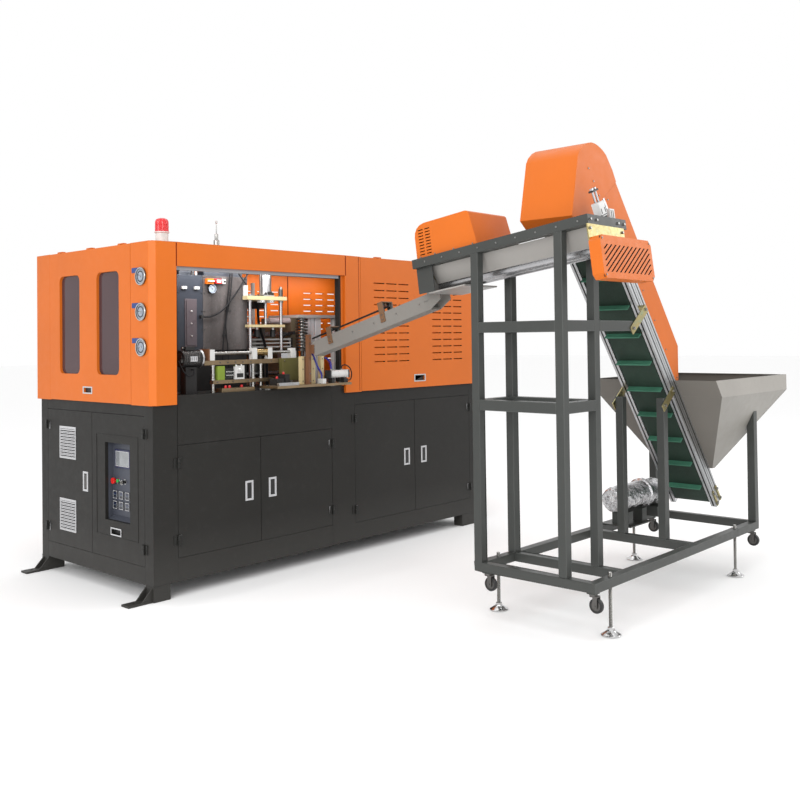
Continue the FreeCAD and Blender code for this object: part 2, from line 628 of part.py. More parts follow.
# --------------------------------------------------------------- anchor feet
feet = []
for y0 in (15.0, cab_dep.v - 15.0 - foot_w.v):
    for side in (0, 1):
        xa = -foot_out if side == 0 else cab_len
        xb = size(0) if side == 0 else cab_len + foot_out
        xh = -anchor_in if side == 0 else cab_len + anchor_in
        plate = box("anchor_sheet", xa, xb, y0, size(y0) + foot_w, 0, foot_t)
        hole = cyl("anchor_hole", "Z", anchor_r, xh, size(y0) + foot_w / 2, -1, foot_t + 2)
        feet.append(cut("anchor_plate", plate, hole))
        gx = [(-66, foot_t), (0, foot_t), (0, 84)] if side == 0 else [(cab_len + 66, foot_t), (cab_len, 84), (cab_len, foot_t)]
        feet.append(prism("anchor_gusset", "XZ", gx, size(y0) + 4, 8))
        feet.append(prism("anchor_gusset", "XZ", gx, size(y0) + foot_w - 12, 8))

# --------------------------------------------------------------------- hood
HX0, HX1, HY0, HY1, HZ0, HZ1 = hood_x0, hood_x1, hood_y0, hood_y1, hood_z0, hood_z1
END0, END1 = 202.0, 1212.0    # seams of the end window panel


def louvres(cols, x_first, w=110.0, pitch=131.0):
    return [rect(x_first + pitch * i, x_first + pitch * i + w, 1355, 1363) for i in range(cols)]


rear_a = prism("rear_panel_a", "XZ", rect(0, 2169, HZ0, HZ1), cab_dep, 22)
rear_b = prism("rear_panel_b", "XZ", rect(2171, HX1, HZ0, HZ1), cab_dep, 22)


def pocket_deep(body, name, pts, at_y, depth, rows):
    sk = outline(body, label(name + "_sketch"), "XZ", pts)
    pk = body.newObject("PartDesign::Pocket", label(name))
    pk.Profile = sk
    pk.Type = 0
    bind(pk, "Length", depth)
    pk.Reversed = False
    pk.Midplane = True
    lp = body.newObject("PartDesign::LinearPattern", label(name + "_rows"))
    lp.Originals = [pk]
    lp.Direction = (sk, ["V_Axis"])
    bind(lp, "Length", rows[1])
    lp.Occurrences = rows[0]
    body.Tip = lp


ROWS = (12, 575.0)
pocket_deep(rear_a, "rear_louvres_a", louvres(3, 1703.0, 95.0, 140.0), cab_dep, 60, ROWS)
pocket_deep(rear_b, "rear_louvres_b", louvres(3, 2346.0, 95.0, 140.0), cab_dep, 60, ROWS)
hood_panels = [
    rear_a, rear_b,
    box("roof_panel", 0, cab_len, 0, cab_dep, HZ1 - 8, HZ1),
    box("right_side_panel", cab_len, HX1, 0, cab_dep, HZ0, HZ1),
    # near-left corner: bevelled edge, split where it meets the cabinet corner
    prism("end_strip_near", "XY", [(HX0, 7), (-13, 0), (0, 0), (0, END0), (HX0, END0)], HZ0, HZ1 - HZ0),
    prism("front_column", "XY", [(-13, 0), (11, HY0), (150, HY0), (150, 0)], HZ0, HZ1 - HZ0),
    box("end_strip_far", HX0, 0, END1, cab_dep + 22, HZ0, HZ1),
    box("fascia", 150, mid_x0, HY0, 0, fas_z0, HZ1),
    box("reveal_strip", open_x1, mid_x0, -6, 0, C1, fas_z0),
    box("middle_column", mid_x0, mid_x1, HY0, 0, HZ0, HZ1),
]

# end window panel, hung from the roof edge
axis_z = HZ1 + rh_r
wp = prism("window_panel", "YZ", rect(END0 + 2, END1 - 2, HZ0 + 4, HZ1 - 2), HX0, hood_t)
pocket(wp, "window_near", "YZ", rounded(335, 600, 1325, 1962, 40), hood_t, flip=True)
pocket(wp, "window_far", "YZ", rounded(814, 1077, 1325, 1962, 40), hood_t, flip=True)
pocket(wp, "lift_recess", "YZ", rect(667, 763, 1209, 1239), 12, flip=True)
panes = [prism("pane_near", "YZ", rounded(315, 620, 1305, 1982, 50), -2, 4), prism("pane_far", "YZ", rounded(794, 1097, 1305, 1982, 50), -2, 4)]


def top_hinge(name, org, along, outward):
    """Roof-edge hinge: fixed half sits on the roof, leaf half on the panel's top edge."""
    inw = ("+" if outward[0] == "-" else "-") + outward[1]
    r = rh_r
    fixed = [
        fuse(name + "_fixed", dbox(name + "_seat", org, (along, inw, "+Z"), ((0, hg_len), (0, 24), (-r, r))),
             dcyl(name + "_barrel", org, along, 0, hg_len, r)),
        dcyl(name + "_pin", org, along, hg_len, hg_len * 2 - 3, hg_pin)]
    moving = [
        cut(name + "_leaf", fuse(name + "_leaf_body",
                                 dbox(name + "_leaf_seat", org, (along, inw, "+Z"), ((hg_len + 1, hg_len * 2 + 1), (-r, r), (-r - 2, 0))),
                                 dcyl(name + "_leaf_barrel", org, along, hg_len + 1, hg_len * 2 + 1, r)),
            dcyl(name + "_leaf_bore", org, along, hg_len, hg_len * 2 - 2, hg_bore))]
    return fixed, moving


window_panel = [wp,
                box("lift_rim", HX0 - 3, HX0, 657, 773, 1201, 1209), box("lift_rim", HX0 - 3, HX0, 657, 773, 1239, 1247),
                box("lift_rim", HX0 - 3, HX0, 657, 667, 1209, 1239), box("lift_rim", HX0 - 3, HX0, 763, 773, 1209, 1239)]
for yy in (300.0, 680.0, 1060.0):
    f_, m_ = top_hinge("window_hinge", (-8.5, yy, axis_z), "+Y", "-X")
    fp += f_
    window_panel += m_

# louvred front panel, hung from the roof edge
lp_ = prism("louvre_sheet", "XZ", rect(mid_x1 + 2, HX1 - 2, HZ0 + 4, HZ1 - 2), HY0, hood_t + 2)
body_louvres = louvres(3, 1815.0) + louvres(3, 2456.0, 104.0, 128.0)
pocket(lp_, "louvre_slots", "XZ", body_louvres, hood_t + 2, flip=False, rows=ROWS)
pocket(lp_, "panel_lift_recess", "XZ", rect(2249, 2359, 1204, 1244), 12, flip=False)
louvre_panel = [lp_,
                box("panel_lift_rim", 2239, 2369, HY0 - 3, HY0, 1196, 1204), box("panel_lift_rim", 2239, 2369, HY0 - 3, HY0, 1244, 1252),
                box("panel_lift_rim", 2239, 2249, HY0 - 3, HY0, 1204, 1244), box("panel_lift_rim", 2359, 2369, HY0 - 3, HY0, 1204, 1244)]
for xx in (1850.0, 2320.0, 2790.0):
    f_, m_ = top_hinge("louvre_hinge", (xx, -8.5, axis_z), "+X", "-Y")
    fp += f_
    louvre_panel += m_

# gauges on the near end strip
gauges = []
for zz in (1913.0, 1703.0, 1494.0):
    gauges += [cyl("gauge_case", "X", 51, HX0 - 6, 78, zz, 6), ring("gauge_bezel", "X", 54, 46, HX0 - 14, 78, zz, 8),
               cyl("gauge_dial", "X", 46, HX0 - 9, 78, zz, 3)]
beacon = [cyl("beacon_foot", "Z", 44, 133, 100, HZ1, 12), cyl("beacon_base", "Z", 38, 133, 100, HZ1 + 12, 50),
          cyl("beacon_collar", "Z", 44, 133, 100, HZ1 + 62, 8), cyl("beacon_lens", "Z", 41, 133, 100, HZ1 + 70, 64),
          cone("beacon_crown", 41, 26, 133, 100, HZ1 + 134, 20),
          # air intake silencer with its thin rod, on the roof
          cyl("silencer_foot", "Z", 26, 600, 200, HZ1, 14), cyl("silencer_body", "Z", 19, 600, 200, HZ1 + 14, 46),
          cyl("silencer_neck", "Z", 12, 600, 200, HZ1 + 60, 40), cyl("silencer_rod", "Z", 3.5, 600, 200, HZ1 + 100, 70),
          cyl("silencer_tip", "Z", 7, 600, 200, HZ1 + 170, 16)]

# -------------------------------------------------------------------- oven
oven = [
    box("oven_box_left", 375, 569, 312, 640, 1466, 1956),
    box("oven_box_right", 571, 930, 312, 640, 1466, 1956),
    box("oven_post", 390, 430, 330, 370, C1, 1466), box("oven_post", 390, 430, 580, 620, C1, 1466),
    box("oven_post", 870, 910, 330, 370, C1, 1466), box("oven_post", 870, 910, 580, 620, C1, 1466),
    box("oven_skirt", 375, 930, 326, 330, C1, 1466),
    box("oven_duct", 420, 540, 360, 600, 1956, 2060),
    box("oven_manifold", 590, 900, 330, 420, 1956, 1984),
    ring("oven_gauge_bezel", "Y", 30, 25, 633, 292, 1869, 20), cyl("oven_gauge_dial", "Y", 25, 633, 296, 1869, 16),
    box("oven_elbow", 540, 560, 288, 312, 1673, 1695),
    box("oven_inset", 430, 520, 308, 312, 1490, 1800),
    box("hose_clip", 718, 756, 306.5, 312, 1556, 1568), box("hose_clip", 742, 790, 306.5, 312, 1720, 1732),
    box("oven_fitting", 405, 440, 296, 312, 1862, 1880), box("oven_fitting", 500, 535, 296, 312, 1862, 1880),
    box("oven_valve", 585, 640, 285, 312, 1900, 1936), box("oven_valve", 655, 700, 285, 312, 1905, 1936), box("oven_valve", 712, 735, 290, 312, 1905, 1936),
    # air manifold under the roof, with the hoses' upper ends
    box("air_manifold", 760, 1000, 262, 322, 2066, 2112),
]

# ------------------------------------------------------------ blow station
clamp_frame = [
    box("clamp_plate_left", 950, 985, 450, 800, C1, 1600),
    box("clamp_plate_right", 1430, 1499, 450, 800, C1, 1690),
    box("mould_half_left", 985, 1030, 520, 730, 1300, 1540),
    box("rear_column", 1000, 1060, 830, 860, C1, 1803), box("rear_mast", 1373, 1396, 830, 852, C1, 1962),
    cut("stretch_top", prism("stretch_top_plate", "XY", [(883, 250), (1225, 250), (1225, 860), (936, 860), (936, 304), (883, 304)], 1803, 26),
        cyl("stretch_top_hole", "Z", 13, 1106, 340, 1802, 30)),
    box("stop_pad", 996, 1032, 252, 290, 1786, 1803), box("stop_pad", 1080, 1111, 252, 290, 1786, 1803),
    box("side_shim", 884, 888, 252, 300, 1829, 1900),
    box("light_top_plate", 1501, 1913, 450, 800, 1690, 1712),
    box("plate_leg", 1870, 1910, 470, 510, C1, 1690), box("plate_leg", 1870, 1910, 740, 780, C1, 1690),
    box("profile_bar", 1588, 1634, 470, 508, C1, 1690), box("profile_bar", 1641, 1670, 470, 508, C1, 1690),
    box("profile_bar", 1684, 1737, 470, 508, C1, 1690),
    cyl("guide_rod", "Z", 11, 933, 290, C1, 1803 - C1), cyl("guide_rod", "Z", 11, 1203, 290, C1, 1803 - C1),
    cyl("guide_cap", "Z", 16, 933, 290, 1829, 14), cyl("guide_cap", "Z", 15, 1203, 290, 1829, 54),
    cone("guide_nose", 15, 5, 1203, 290, 1883, 19),
    cut("stretch_cylinder", cyl("stretch_barrel", "Z", 42, 1106, 340, 1829, 166), cyl("stretch_barrel_bore", "Z", 13, 1106, 340, 1828, 163)),
    cut("clamp_cylinder", cyl("clamp_barrel", "X", 25, 1237, 560, 1440, 193), cyl("clamp_barrel_bore", "X", 11, 1236, 560, 1440, 180)),
    # slim cylinder bolted to the face of the right plate, above the mould
    cyl("lock_cylinder", "X", 20, 1236, 474, 1668, 194), cyl("lock_cylinder_nose", "X", 9, 1222, 474, 1668, 14),
    # light guide strips in front of the mould, carried by a block on the right plate
    box("strip_block", 1412, 1430, 436, 470, 1470, 1542), box("guide_strip", 1062, 1412, 436, 448, 1526, 1538),
    box("guide_strip", 1062, 1412, 436, 448, 1500, 1510), box("guide_strip", 1062, 1412, 436, 448, 1474, 1484),
    # dark arm under the top plate
    box("top_arm", 940, 1193, 446, 520, 1751, 1803),
    # hose elbows on the right plate
    box("plate_elbow", 1410, 1430, 406, 470, 1566, 1590), box("plate_elbow", 1392, 1430, 401, 470, 1438, 1458),
    cyl("plate_fitting", "Z", 14, 1108, 425, 1791, 12), cyl("plate_fitting", "Z", 8, 905, 284, 1829, 20),
    # sleeve of the return spring round its post, in front of the right plate
    cyl("spring_post", "Z", 12, 1484, 395, C1, 1686 - C1), ring("spring_sleeve", "Z", 46, 37, 1484, 395, 1458, 214),
    cyl("spring_seat", "Z", 46, 1484, 395, 1446, 12), cyl("spring_top", "Z", 46, 1484, 395, 1672, 8),
]
for yy in (480.0, 770.0):
    for zz in (1290.0, 1570.0):
        clamp_frame.append(cyl("tie_bar", "X", 15, 985, yy, zz, 445))

platen_holes = [cyl("platen_hole", "X", 15.06, 1139, yy, zz, 60) for yy in (480.0, 770.0) for zz in (1290.0, 1570.0)]
clamp_platen = [
    cut("moving_platen", box("moving_plate", 1140, 1190, 450, 800, 1230, 1610), *platen_holes),
    box("mould_half_right", 1095, 1140, 520, 730, 1300, 1540),
    cyl("clamp_rod", "X", 10, 1190, 560, 1440, 150),
]
crosshead = [
    cut("crosshead_plate", prism("crosshead_blank", "XY", [(902, 262), (1216, 262), (1216, 400), (1085, 400), (1085, 700), (1040, 700), (1040, 400), (942, 400), (942, 304), (902, 304)], 1616, 18),
        cyl("crosshead_guide_hole", "Z", 11.06, 933, 290, 1615, 20), cyl("crosshead_guide_hole", "Z", 11.06, 1203, 290, 1615, 20)),
    cyl("crosshead_rod", "Z", 10, 1106, 340, 1634, 216),
    cyl("stretch_rod", "Z", 6, 1062, 580, 1564, 52), cyl("stretch_rod", "Z", 6, 1062, 670, 1564, 52),
    cyl("rod_coupling", "Z", 20, 1029, 340, 1549, 52), cyl("rod_coupling_neck", "Z", 12, 1029, 340, 1601, 15),
    cyl("rod_coupling", "Z", 20, 1170, 340, 1549, 52), cyl("rod_coupling_neck", "Z", 12, 1170, 340, 1601, 15),
]

# ------------------------------------------------- transfer unit and infeed
transfer = [
    box("transfer_beam", 404, 1143, 62, 112, 1374, 1402),
    box("lower_beam", 469, 943, 62, 102, 1254, 1277),
    box("base_strip", 518, 775, 40, 110, C1, 1225),
    cyl("beam_post", "Z", 11, 480, 82, C1, 54), cyl("beam_post", "Z", 11, 480, 82, 1277, 97),
    cyl("beam_post", "Z", 11, 794, 82, C1, 54), cyl("beam_post", "Z", 11, 794, 82, 1277, 97),
    cyl("beam_post", "Z", 11, 857, 82, C1, 54), cyl("beam_post", "Z", 11, 857, 82, 1277, 97),
    cyl("beam_post", "Z", 11, 1120, 87, C1, 174),
    box("valve_block", 505, 560, 66, 100, 1277, 1366), box("valve_coils", 560, 655, 72, 100, 1277, 1350),
    box("valve_block", 655, 713, 66, 100, 1277, 1366), box("air_unit", 627, 695, 44, 66, 1279, 1360),
    cyl("guide_shaft", "X", 10, 485, 87, 1447, 623),
    box("shaft_block", 449, 485, 66, 108, 1402, 1471), box("shaft_block", 1108, 1143, 66, 108, 1402, 1471),
    cyl("motor_body", "X", 52, 257, 110, 1417, 133), cyl("motor_flange", "X", 56, 390, 110, 1417, 12),
    cyl("motor_neck", "X", 14, 402, 110, 1417, 36), box("motor_bracket", 438, 448, 66, 162, 1402, 1476),
    box("motor_terminal", 285, 350, 85, 135, 1469, 1492), box("motor_foot", 280, 360, 80, 140, C1, 1365),
    # infeed table that stands out through the front
    box("table_runner", 830, 870, 0, 36, C1, 1213), box("table_runner", 1400, 1440, 0, 36, C1, 1213),
    box("table_plate", 810, 1462, -150, 36, 1213, 1229),
    box("infeed_post", 1094, 1118, -125, -95, 1229, 1561),
    box("chute_bracket", 1118, 1124, -150, -100, 1432, 1492),
    box("guide_plate", 1070, 1094, -80, -50, 1229, 1415), box("guide_plate", 1099, 1114, -80, -50, 1229, 1415),
    box("guide_plate", 1155, 1192, -80, -50, 1229, 1415), box("guide_plate", 1242, 1270, -80, -50, 1229, 1415),
    box("sensor_block", 1120, 1255, 190, 230, 1398, 1452), box("sensor_post", 1165, 1205, 195, 225, C1, 1398),
    box("post_elbow", 1100, 1112, -95, -83, 1444, 1460), box("plate_port", 1270, 1282, -76, -56, 1392, 1408),
    cyl("cylinder_port", "Z", 7, 1298, -120, 1315, 8), cyl("cylinder_port", "Z", 7, 1395, -120, 1315, 8),
    box("table_elbow", 1428, 1446, -130, -110, 1229, 1256), box("motor_port", 246, 257, 72, 90, 1396, 1414),
    box("guard_box", 994, 1172, 22, 60, 1256, 1405), box("guard_box_leg", 1010, 1030, 24, 36, 1229, 1256),
    box("guard_box_leg", 1136, 1156, 24, 36, 1229, 1256),
    cyl("gate_cylinder", "X", 25, 1279, -120, 1290, 154), box("gate_cylinder_foot", 1290, 1310, -140, -100, 1229, 1265),
    box("gate_cylinder_foot", 1402, 1422, -140, -100, 1229, 1265),
    box("gate_cylinder_head", 1266, 1279, -147, -93, 1263, 1317), box("gate_cylinder_head", 1433, 1446, -147, -93, 1263, 1317),
    box("sensor_rail", 830, 1000, -140, -120, 1229, 1249), box("stop_block", 1205, 1235, -140, -84, 1229, 1262),
    box("index_block", 880, 940, -60, 20, 1229, 1272), box("index_block", 950, 985, -60, 20, 1229, 1300),
]


def bored_block(name, x0, x1):
    """Block of the carriage, bored for the guide shaft."""
    return cut(name, box(name + "_blank", x0, x1, 66, 108, 1402.6, 1477), cyl(name + "_bore", "X", 10.06, size(x0) - 1, 87, 1447, size(x1) - x0 + 2))


carriage = [
    bored_block("carriage_block_left", 784, 818), bored_block("carriage_block_right", 906, 944),
    ring("carriage_sleeve", "X", 22, 10.06, 818, 87, 1447, 88),
    box("gripper_arm", 792, 808, 108, 116, 1438, 1456), box("gripper_arm", 920, 936, 108, 116, 1438, 1456),
    box("gripper_bar", 784, 944, 116, 128, 1431, 1463),
    box("gripper_finger", 798, 810, 128, 190, 1441, 1453), box("gripper_finger", 858, 870, 128, 190, 1441, 1453),
    box("gripper_finger", 918, 930, 128, 190, 1441, 1453),
]


# -------------------------------------------------------------------- hoses
# outside radii of the hoses
ho_thin = dim("ho_thin", 4.0, "radius of the thin air hoses")
ho_mid = dim("ho_mid", 5.5, "radius of the air hoses")
ho_big = dim("ho_big", 9.0, "radius of the blowing hose")
hoses = []


def hose(name, r, pts):
    """Round hose: straight runs joined by tangent arcs."""
    P = [Vector(*p) for p in pts]
    edges, cur, length = [], P[0], 0.0
    for i in range(1, len(P) - 1):
        u, v = (P[i - 1] - P[i]), (P[i + 1] - P[i])
        t = 0.45 * min(u.Length, v.Length)
        u.normalize()
        v.normalize()
        half = (math.pi - u.getAngle(v)) / 2.0
        R = t / math.tan(half)
        w = u + v
        w.normalize()
        mid = P[i] + w * (R / math.cos(half) - R)
        edges += [Part.LineSegment(cur, P[i] + u * t).toShape(), Part.Arc(P[i] + u * t, mid, P[i] + v * t).toShape()]
        cur = P[i] + v * t
    edges.append(Part.LineSegment(cur, P[-1]).toShape())
    path = doc.addObject("Part::Feature", label(name + "_path"))
    path.Shape = Part.Wire(edges)
    sect = doc.addObject("Part::Circle", label(name + "_section"))
    bind(sect, "Radius", r)
    d = P[1] - P[0]
    sect.Placement = Placement(P[0], Rotation(Vector(0, 0, 1), d))
    sw = doc.addObject("Part::Sweep", label(name))
    sw.Sections = [sect]
    sw.Spine = (path, ["Edge%d" % (k + 1) for k in range(len(edges))])
    sw.Solid = True
    sw.Frenet = True
    hoses.append((sw, r, path))
    return sw


hose_parts = [
    hose("hose_oven_feed", ho_mid, [(935, 284, 2066), (935, 284, 2012), (862, 286, 1900), (790, 288, 1810), (705, 292, 1722), (640, 298, 1690), (608, 300, 1684), (560.2, 300, 1684)]),
    hose("hose_head_feed", ho_mid, [(815, 284, 2066), (815, 284, 2012), (858, 284, 1952), (905, 284, 1904), (905, 284, 1849.2)]),
    hose("hose_drop_a", ho_thin, [(782, 302, 2066), (782, 302, 1990), (770, 302, 1880), (752, 302, 1770), (748, 302, 1690), (728, 302, 1600), (722, 302, 1530), (716, 302, 1440), (720, 302, 1330), (720, 302, 1200.2)]),
    hose("hose_drop_b", ho_thin, [(800, 302, 2066), (800, 302, 1990), (790, 302, 1880), (772, 302, 1780), (752, 302, 1700), (740, 302, 1632), (748, 302, 1550), (760, 302, 1460), (765, 302, 1330), (765, 302, 1200.2)]),
    hose("hose_blow", ho_big, [(1108, 425, 1790.8), (1108, 425, 1735), (1110, 425, 1660), (1130, 425, 1590), (1160, 425, 1520), (1178, 425, 1440), (1182, 425, 1330), (1182, 425, 1200.2)]),
    hose("hose_plate_loop", ho_thin, [(1409.8, 418, 1578), (1384, 418, 1578), (1338, 415, 1560), (1302, 411, 1518), (1304, 410, 1474), (1334, 410, 1448), (1391.8, 410, 1448)]),
    hose("hose_blue_left", ho_mid, [(1112.2, -89, 1452), (1134, -89, 1452), (1162, -96, 1420), (1178, -102, 1370), (1198, -108, 1328), (1220, -112, 1298), (1220, -112, 1262.2)]),
    hose("hose_blue_right", ho_mid, [(1282.2, -66, 1400), (1304, -66, 1400), (1324, -84, 1374), (1298, -120, 1354), (1298, -120, 1323.2)]),
    hose("hose_gate_loop", ho_thin, [(1395, -120, 1323.2), (1395, -120, 1342), (1430, -120, 1352), (1476, -120, 1330), (1494, -120, 1288), (1482, -120, 1243), (1446.2, -120, 1243)]),
    hose("hose_motor_loop", ho_thin, [(245.8, 81, 1405), (232, 81, 1405), (230, 58, 1374), (246, 50, 1340), (280, 46, 1306), (318, 46, 1318), (320, 50, 1350), (320, 79.8, 1350)]),
]

# -------------------------------------------------- tilted group placements
def tilt(obj, x, y, z, axis, angle):
    obj.Placement = Placement(Vector(0, 0, 0), Rotation(Vector(*axis), size(angle).v))
    bind(obj, "Placement.Base.x", x)
    bind(obj, "Placement.Base.y", y)
    bind(obj, "Placement.Base.z", z)
    return obj


def on_chute(name, parts):
    """Parts drawn with -Y up the slope and Z square to it, zero at the low end."""
    return tilt(group(name, parts), 0, ch_y, ch_z, (1, 0, 0), -ch_ang)


def on_sorter(name, parts):
    """Parts drawn with +Y down the slope and Z square to the table, zero at the near end."""
    return tilt(group(name, parts), 0, so_y, so_z, (1, 0, 0), -so_ang)


def on_elevator(name, parts):
    """Parts drawn with -X up the slope and Z square to the rails, zero on their underside."""
    return tilt(group(name, parts), el_x, 0, el_z, (0, 1, 0), el_ang - 0)


# --------------------------------------------------------------------- chute
X0, X1 = ch_x, ch_x + ch_w
chute = [on_chute("chute_body", [
    box("chute_side", X0, X0 + 4, -ch_len, 0, -ch_h, 0), box("chute_side", X1 - 4, X1, -ch_len, 0, -ch_h, 0),
    box("chute_channel", X0, X1, -ch_len, 0, -ch_h - 14, -ch_h),
    box("slide_rail", X0 + 4, X0 + 24, -ch_len, -8, -18, -6), box("slide_rail", X1 - 24, X1 - 4, -ch_len, -8, -18, -6),
    box("hold_down_rod", ch_x + 37, ch_x + 47, -721, 30, 28, 38),
    # straddling brackets
    box("saddle_near", X0 - 6, X0, -205, -165, -60, 46), box("saddle_far", X1, X1 + 6, -205, -165, -60, 46),
    box("saddle_top", X0 - 6, X1 + 6, -205, -165, 46, 52), box("saddle_drop", ch_x + 37, ch_x + 47, -190, -180, 38, 46),
    box("saddle_near", X0 - 6, X0, -705, -665, -60, 62), box("saddle_far", X1, X1 + 6, -705, -665, -60, 62),
    box("saddle_top", X0 - 6, X1 + 6, -705, -665, 62, 68), box("saddle_drop", ch_x + 37, ch_x + 47, -690, -680, 38, 62),
    # hooked end plates that hang the chute on the sorter
    prism("hook_plate", "YZ", [(-ch_len, -ch_h - 14), (-ch_len - 95, -60), (-ch_len - 95, 24), (-ch_len, 24)], X0 - 6, 6),
    prism("hook_plate", "YZ", [(-ch_len, -ch_h - 14), (-ch_len - 95, -60), (-ch_len - 95, 24), (-ch_len, 24)], X1, 6),
    box("hook_strap", X0 - 6, X0, -ch_len, -ch_len + 40, -40, -10), box("hook_strap", X1, X1 + 6, -ch_len, -ch_len + 40, -40, -10),
])]

# -------------------------------------------------------------- loader frame
U = tube
LZ0, LZ1 = lb_z0, lb_z0 + tube
XF = (1160.0, 2680.0)          # stations of the levelling feet


def rail_with_feet(name, y0):
    y0 = size(y0)
    out = []
    xs = [lb_x0]
    for x in XF:
        xs += [size(x) - fo_c, size(x) + fo_c]
    xs.append(lb_x1)
    for i in range(0, len(xs), 2):
        out.append(box(name, xs[i], xs[i + 1], y0, y0 + U, LZ0, LZ1))
    for x in XF:
        ym = y0 + U / 2
        out.append(box(name + "_cheek", size(x) - fo_c, size(x) + fo_c, y0, ym - fo_c, LZ0, LZ1))
        out.append(box(name + "_cheek", size(x) - fo_c, size(x) + fo_c, ym + fo_c, y0 + U, LZ0, LZ1))
    return out


def so_under(y):
    """Height of the sorter table's underside over a given Y."""
    t = math.tan(math.radians(so_ang.v))
    return so_z - so_t / math.cos(math.radians(so_ang.v)) - t * (size(y) - so_y)


loader = rail_with_feet("near_rail", lb_y0) + rail_with_feet("far_rail", lb_y1 - U)
loader += [box("cross_rail", x, size(x) + U, lb_y0 + U, lb_y1 - U, LZ0, LZ1) for x in (lb_x0, tw_x, cr_x, lb_x1 - U)]
for nm, x, y in (("p1", lb_x0, lb_y1 - U), ("p2", lb_x0, tw_y), ("p3", tw_x, lb_y1 - U), ("p4", tw_x, tw_y)):
    loader.append(prism("tower_post_" + nm, "YZ",
                        [(y, LZ1), (y + U, LZ1), (y + U, so_under(y + U)), (y, so_under(y))], x, U))
for z in (rung_a, rung_b):
    loader += [
        box("rung_near", lb_x0 + U, tw_x, tw_y, tw_y + U, z, z + rung_h),
        box("rung_far", lb_x0 + U, tw_x, lb_y1 - U, lb_y1, z, z + rung_h),
        box("rung_left", lb_x0, lb_x0 + U, tw_y + U, lb_y1 - U, z, z + rung_h),
        box("rung_right", tw_x, tw_x + U, tw_y + U, lb_y1 - U, z, z + rung_h)]
loader += [
    box("rung_arm", tw_x + U, 1690, tw_y, tw_y + U, rung_b, rung_b + rung_h),
    box("middle_post_near", cr_x, cr_x + U, el_y0, el_y0 + U, LZ1, 1146),
    box("middle_post_far", cr_x, cr_x + U, el_y1 - U, el_y1, LZ1, 1146),
]
# outer posts, cut to the slope of the hopper's side sheets
slope_yz = (hp_band - hp_bz) / (size(-2013.0) - hp_by - hp_y0)
# the near sheet passes (Y = hopper near side, Z = band foot)


def hop_side(y):
    """Height of the outside of the hopper's side sheets over a given Y."""
    m = size(-2013.0)
    d = (m - y) if size(y).v < -2013.0 else (size(y) - m)
    return hp_bz + (d - hp_by) * slope_yz


for nm, ya in (("near", lb_y0), ("far", lb_y1 - U)):
    loader.append(prism("outer_post_" + nm, "YZ",
                        [(ya, LZ1), (ya + U, LZ1), (ya + U, hop_side(ya + U)), (ya, hop_side(ya))], lb_x1 - U, U))


def el_under(z):
    """X of the rails' underside at a given height."""
    t = math.tan(math.radians(90.0 - el_ang.v))
    return el_x + (el_z - z) * t


for ya in (el_y0, el_y1 - el_w):
    loader.append(prism("head_strut", "XZ", [(so_x1, 2062), (el_under(2062), 2062), (el_under(2100), 2100), (so_x1, 2100)], ya, el_w))
# caster mounting plates
CAST = ((1002.0, -2350.0), (1002.0, -1690.0), (2925.0, -2353.0), (2925.0, -1638.0))
for cx, cy in CAST:
    loader.append(box("caster_plate", cx - 25, cx + 25, cy - 25, cy + 25, LZ0 - 6, LZ0))

# -------------------------------------------------------------- sorter table
SX0, SX1, SL = so_x0, so_x1, so_len
sorter = [on_sorter("sorter_table_set", [
    box("table_side", SX0, SX0 + U, 0, SL, -so_t, 0), box("table_side", SX1 - U, SX1, 0, SL, -so_t, 0),
    box("table_end", SX0 + U, SX1 - U, 0, 40, -so_t, 0), box("table_end", SX0 + U, SX1 - U, SL - 40, SL, -so_t, 0),
    box("table_cross", SX0 + U, SX1 - U, 640, 690, -so_t, 0),
    box("motor_seat", SX0 + U, SX1 - U, 760, SL - 40, -8, 0),
    box("drive_motor_body", 1080, 1290, 830, 1000, 0, 150), box("drive_gearbox", 1110, 1250, 1000, 1110, 0, 130),
    # end box round the roller outlet
    box("outlet_cheek", 1010, 1016, 1080, SL, -200, -so_t), box("outlet_cheek", 1314, 1320, 1080, SL, -200, -so_t),
])]
trough = [on_sorter("sorter_sheets", [
    prism("trough_sheet", "XZ", [(1040, -52), (1043, -52), (1099, -150), (1096, -150)], 8, 1114),
    prism("trough_sheet", "XZ", [(1277, -52), (1280, -52), (1236, -150), (1233, -150)], 8, 1114),
    cut("near_bearing_plate", box("near_bearing_sheet", 955, 1310, -8, 0, -244, -so_t),
        cyl("bearing_hole", "Y", ro_bore, ro_xa, -9, ro_w, 12), cyl("bearing_hole", "Y", ro_bore, ro_xb, -9, ro_w, 12)),
    cut("far_bearing_plate", box("far_bearing_sheet", 1016, 1314, 1130, 1138, -200, -so_t),
        cyl("bearing_hole", "Y", ro_bore, ro_xa, 1129, ro_w, 12), cyl("bearing_hole", "Y", ro_bore, ro_xb, 1129, ro_w, 12)),
    box("outlet_floor", 1016, 1314, 860, 1130, -208, -200),
])]
# bearing plates' bores clear the shafts by the running fit


def roller(name, x):
    return [on_sorter(name + "_turned", [fuse(name + "_solid",
            cyl(name + "_barrel", "Y", ro_r, x, 12, ro_w, 1106), cyl(name + "_shaft", "Y", ro_s, x, -20, ro_w, 1160))])]


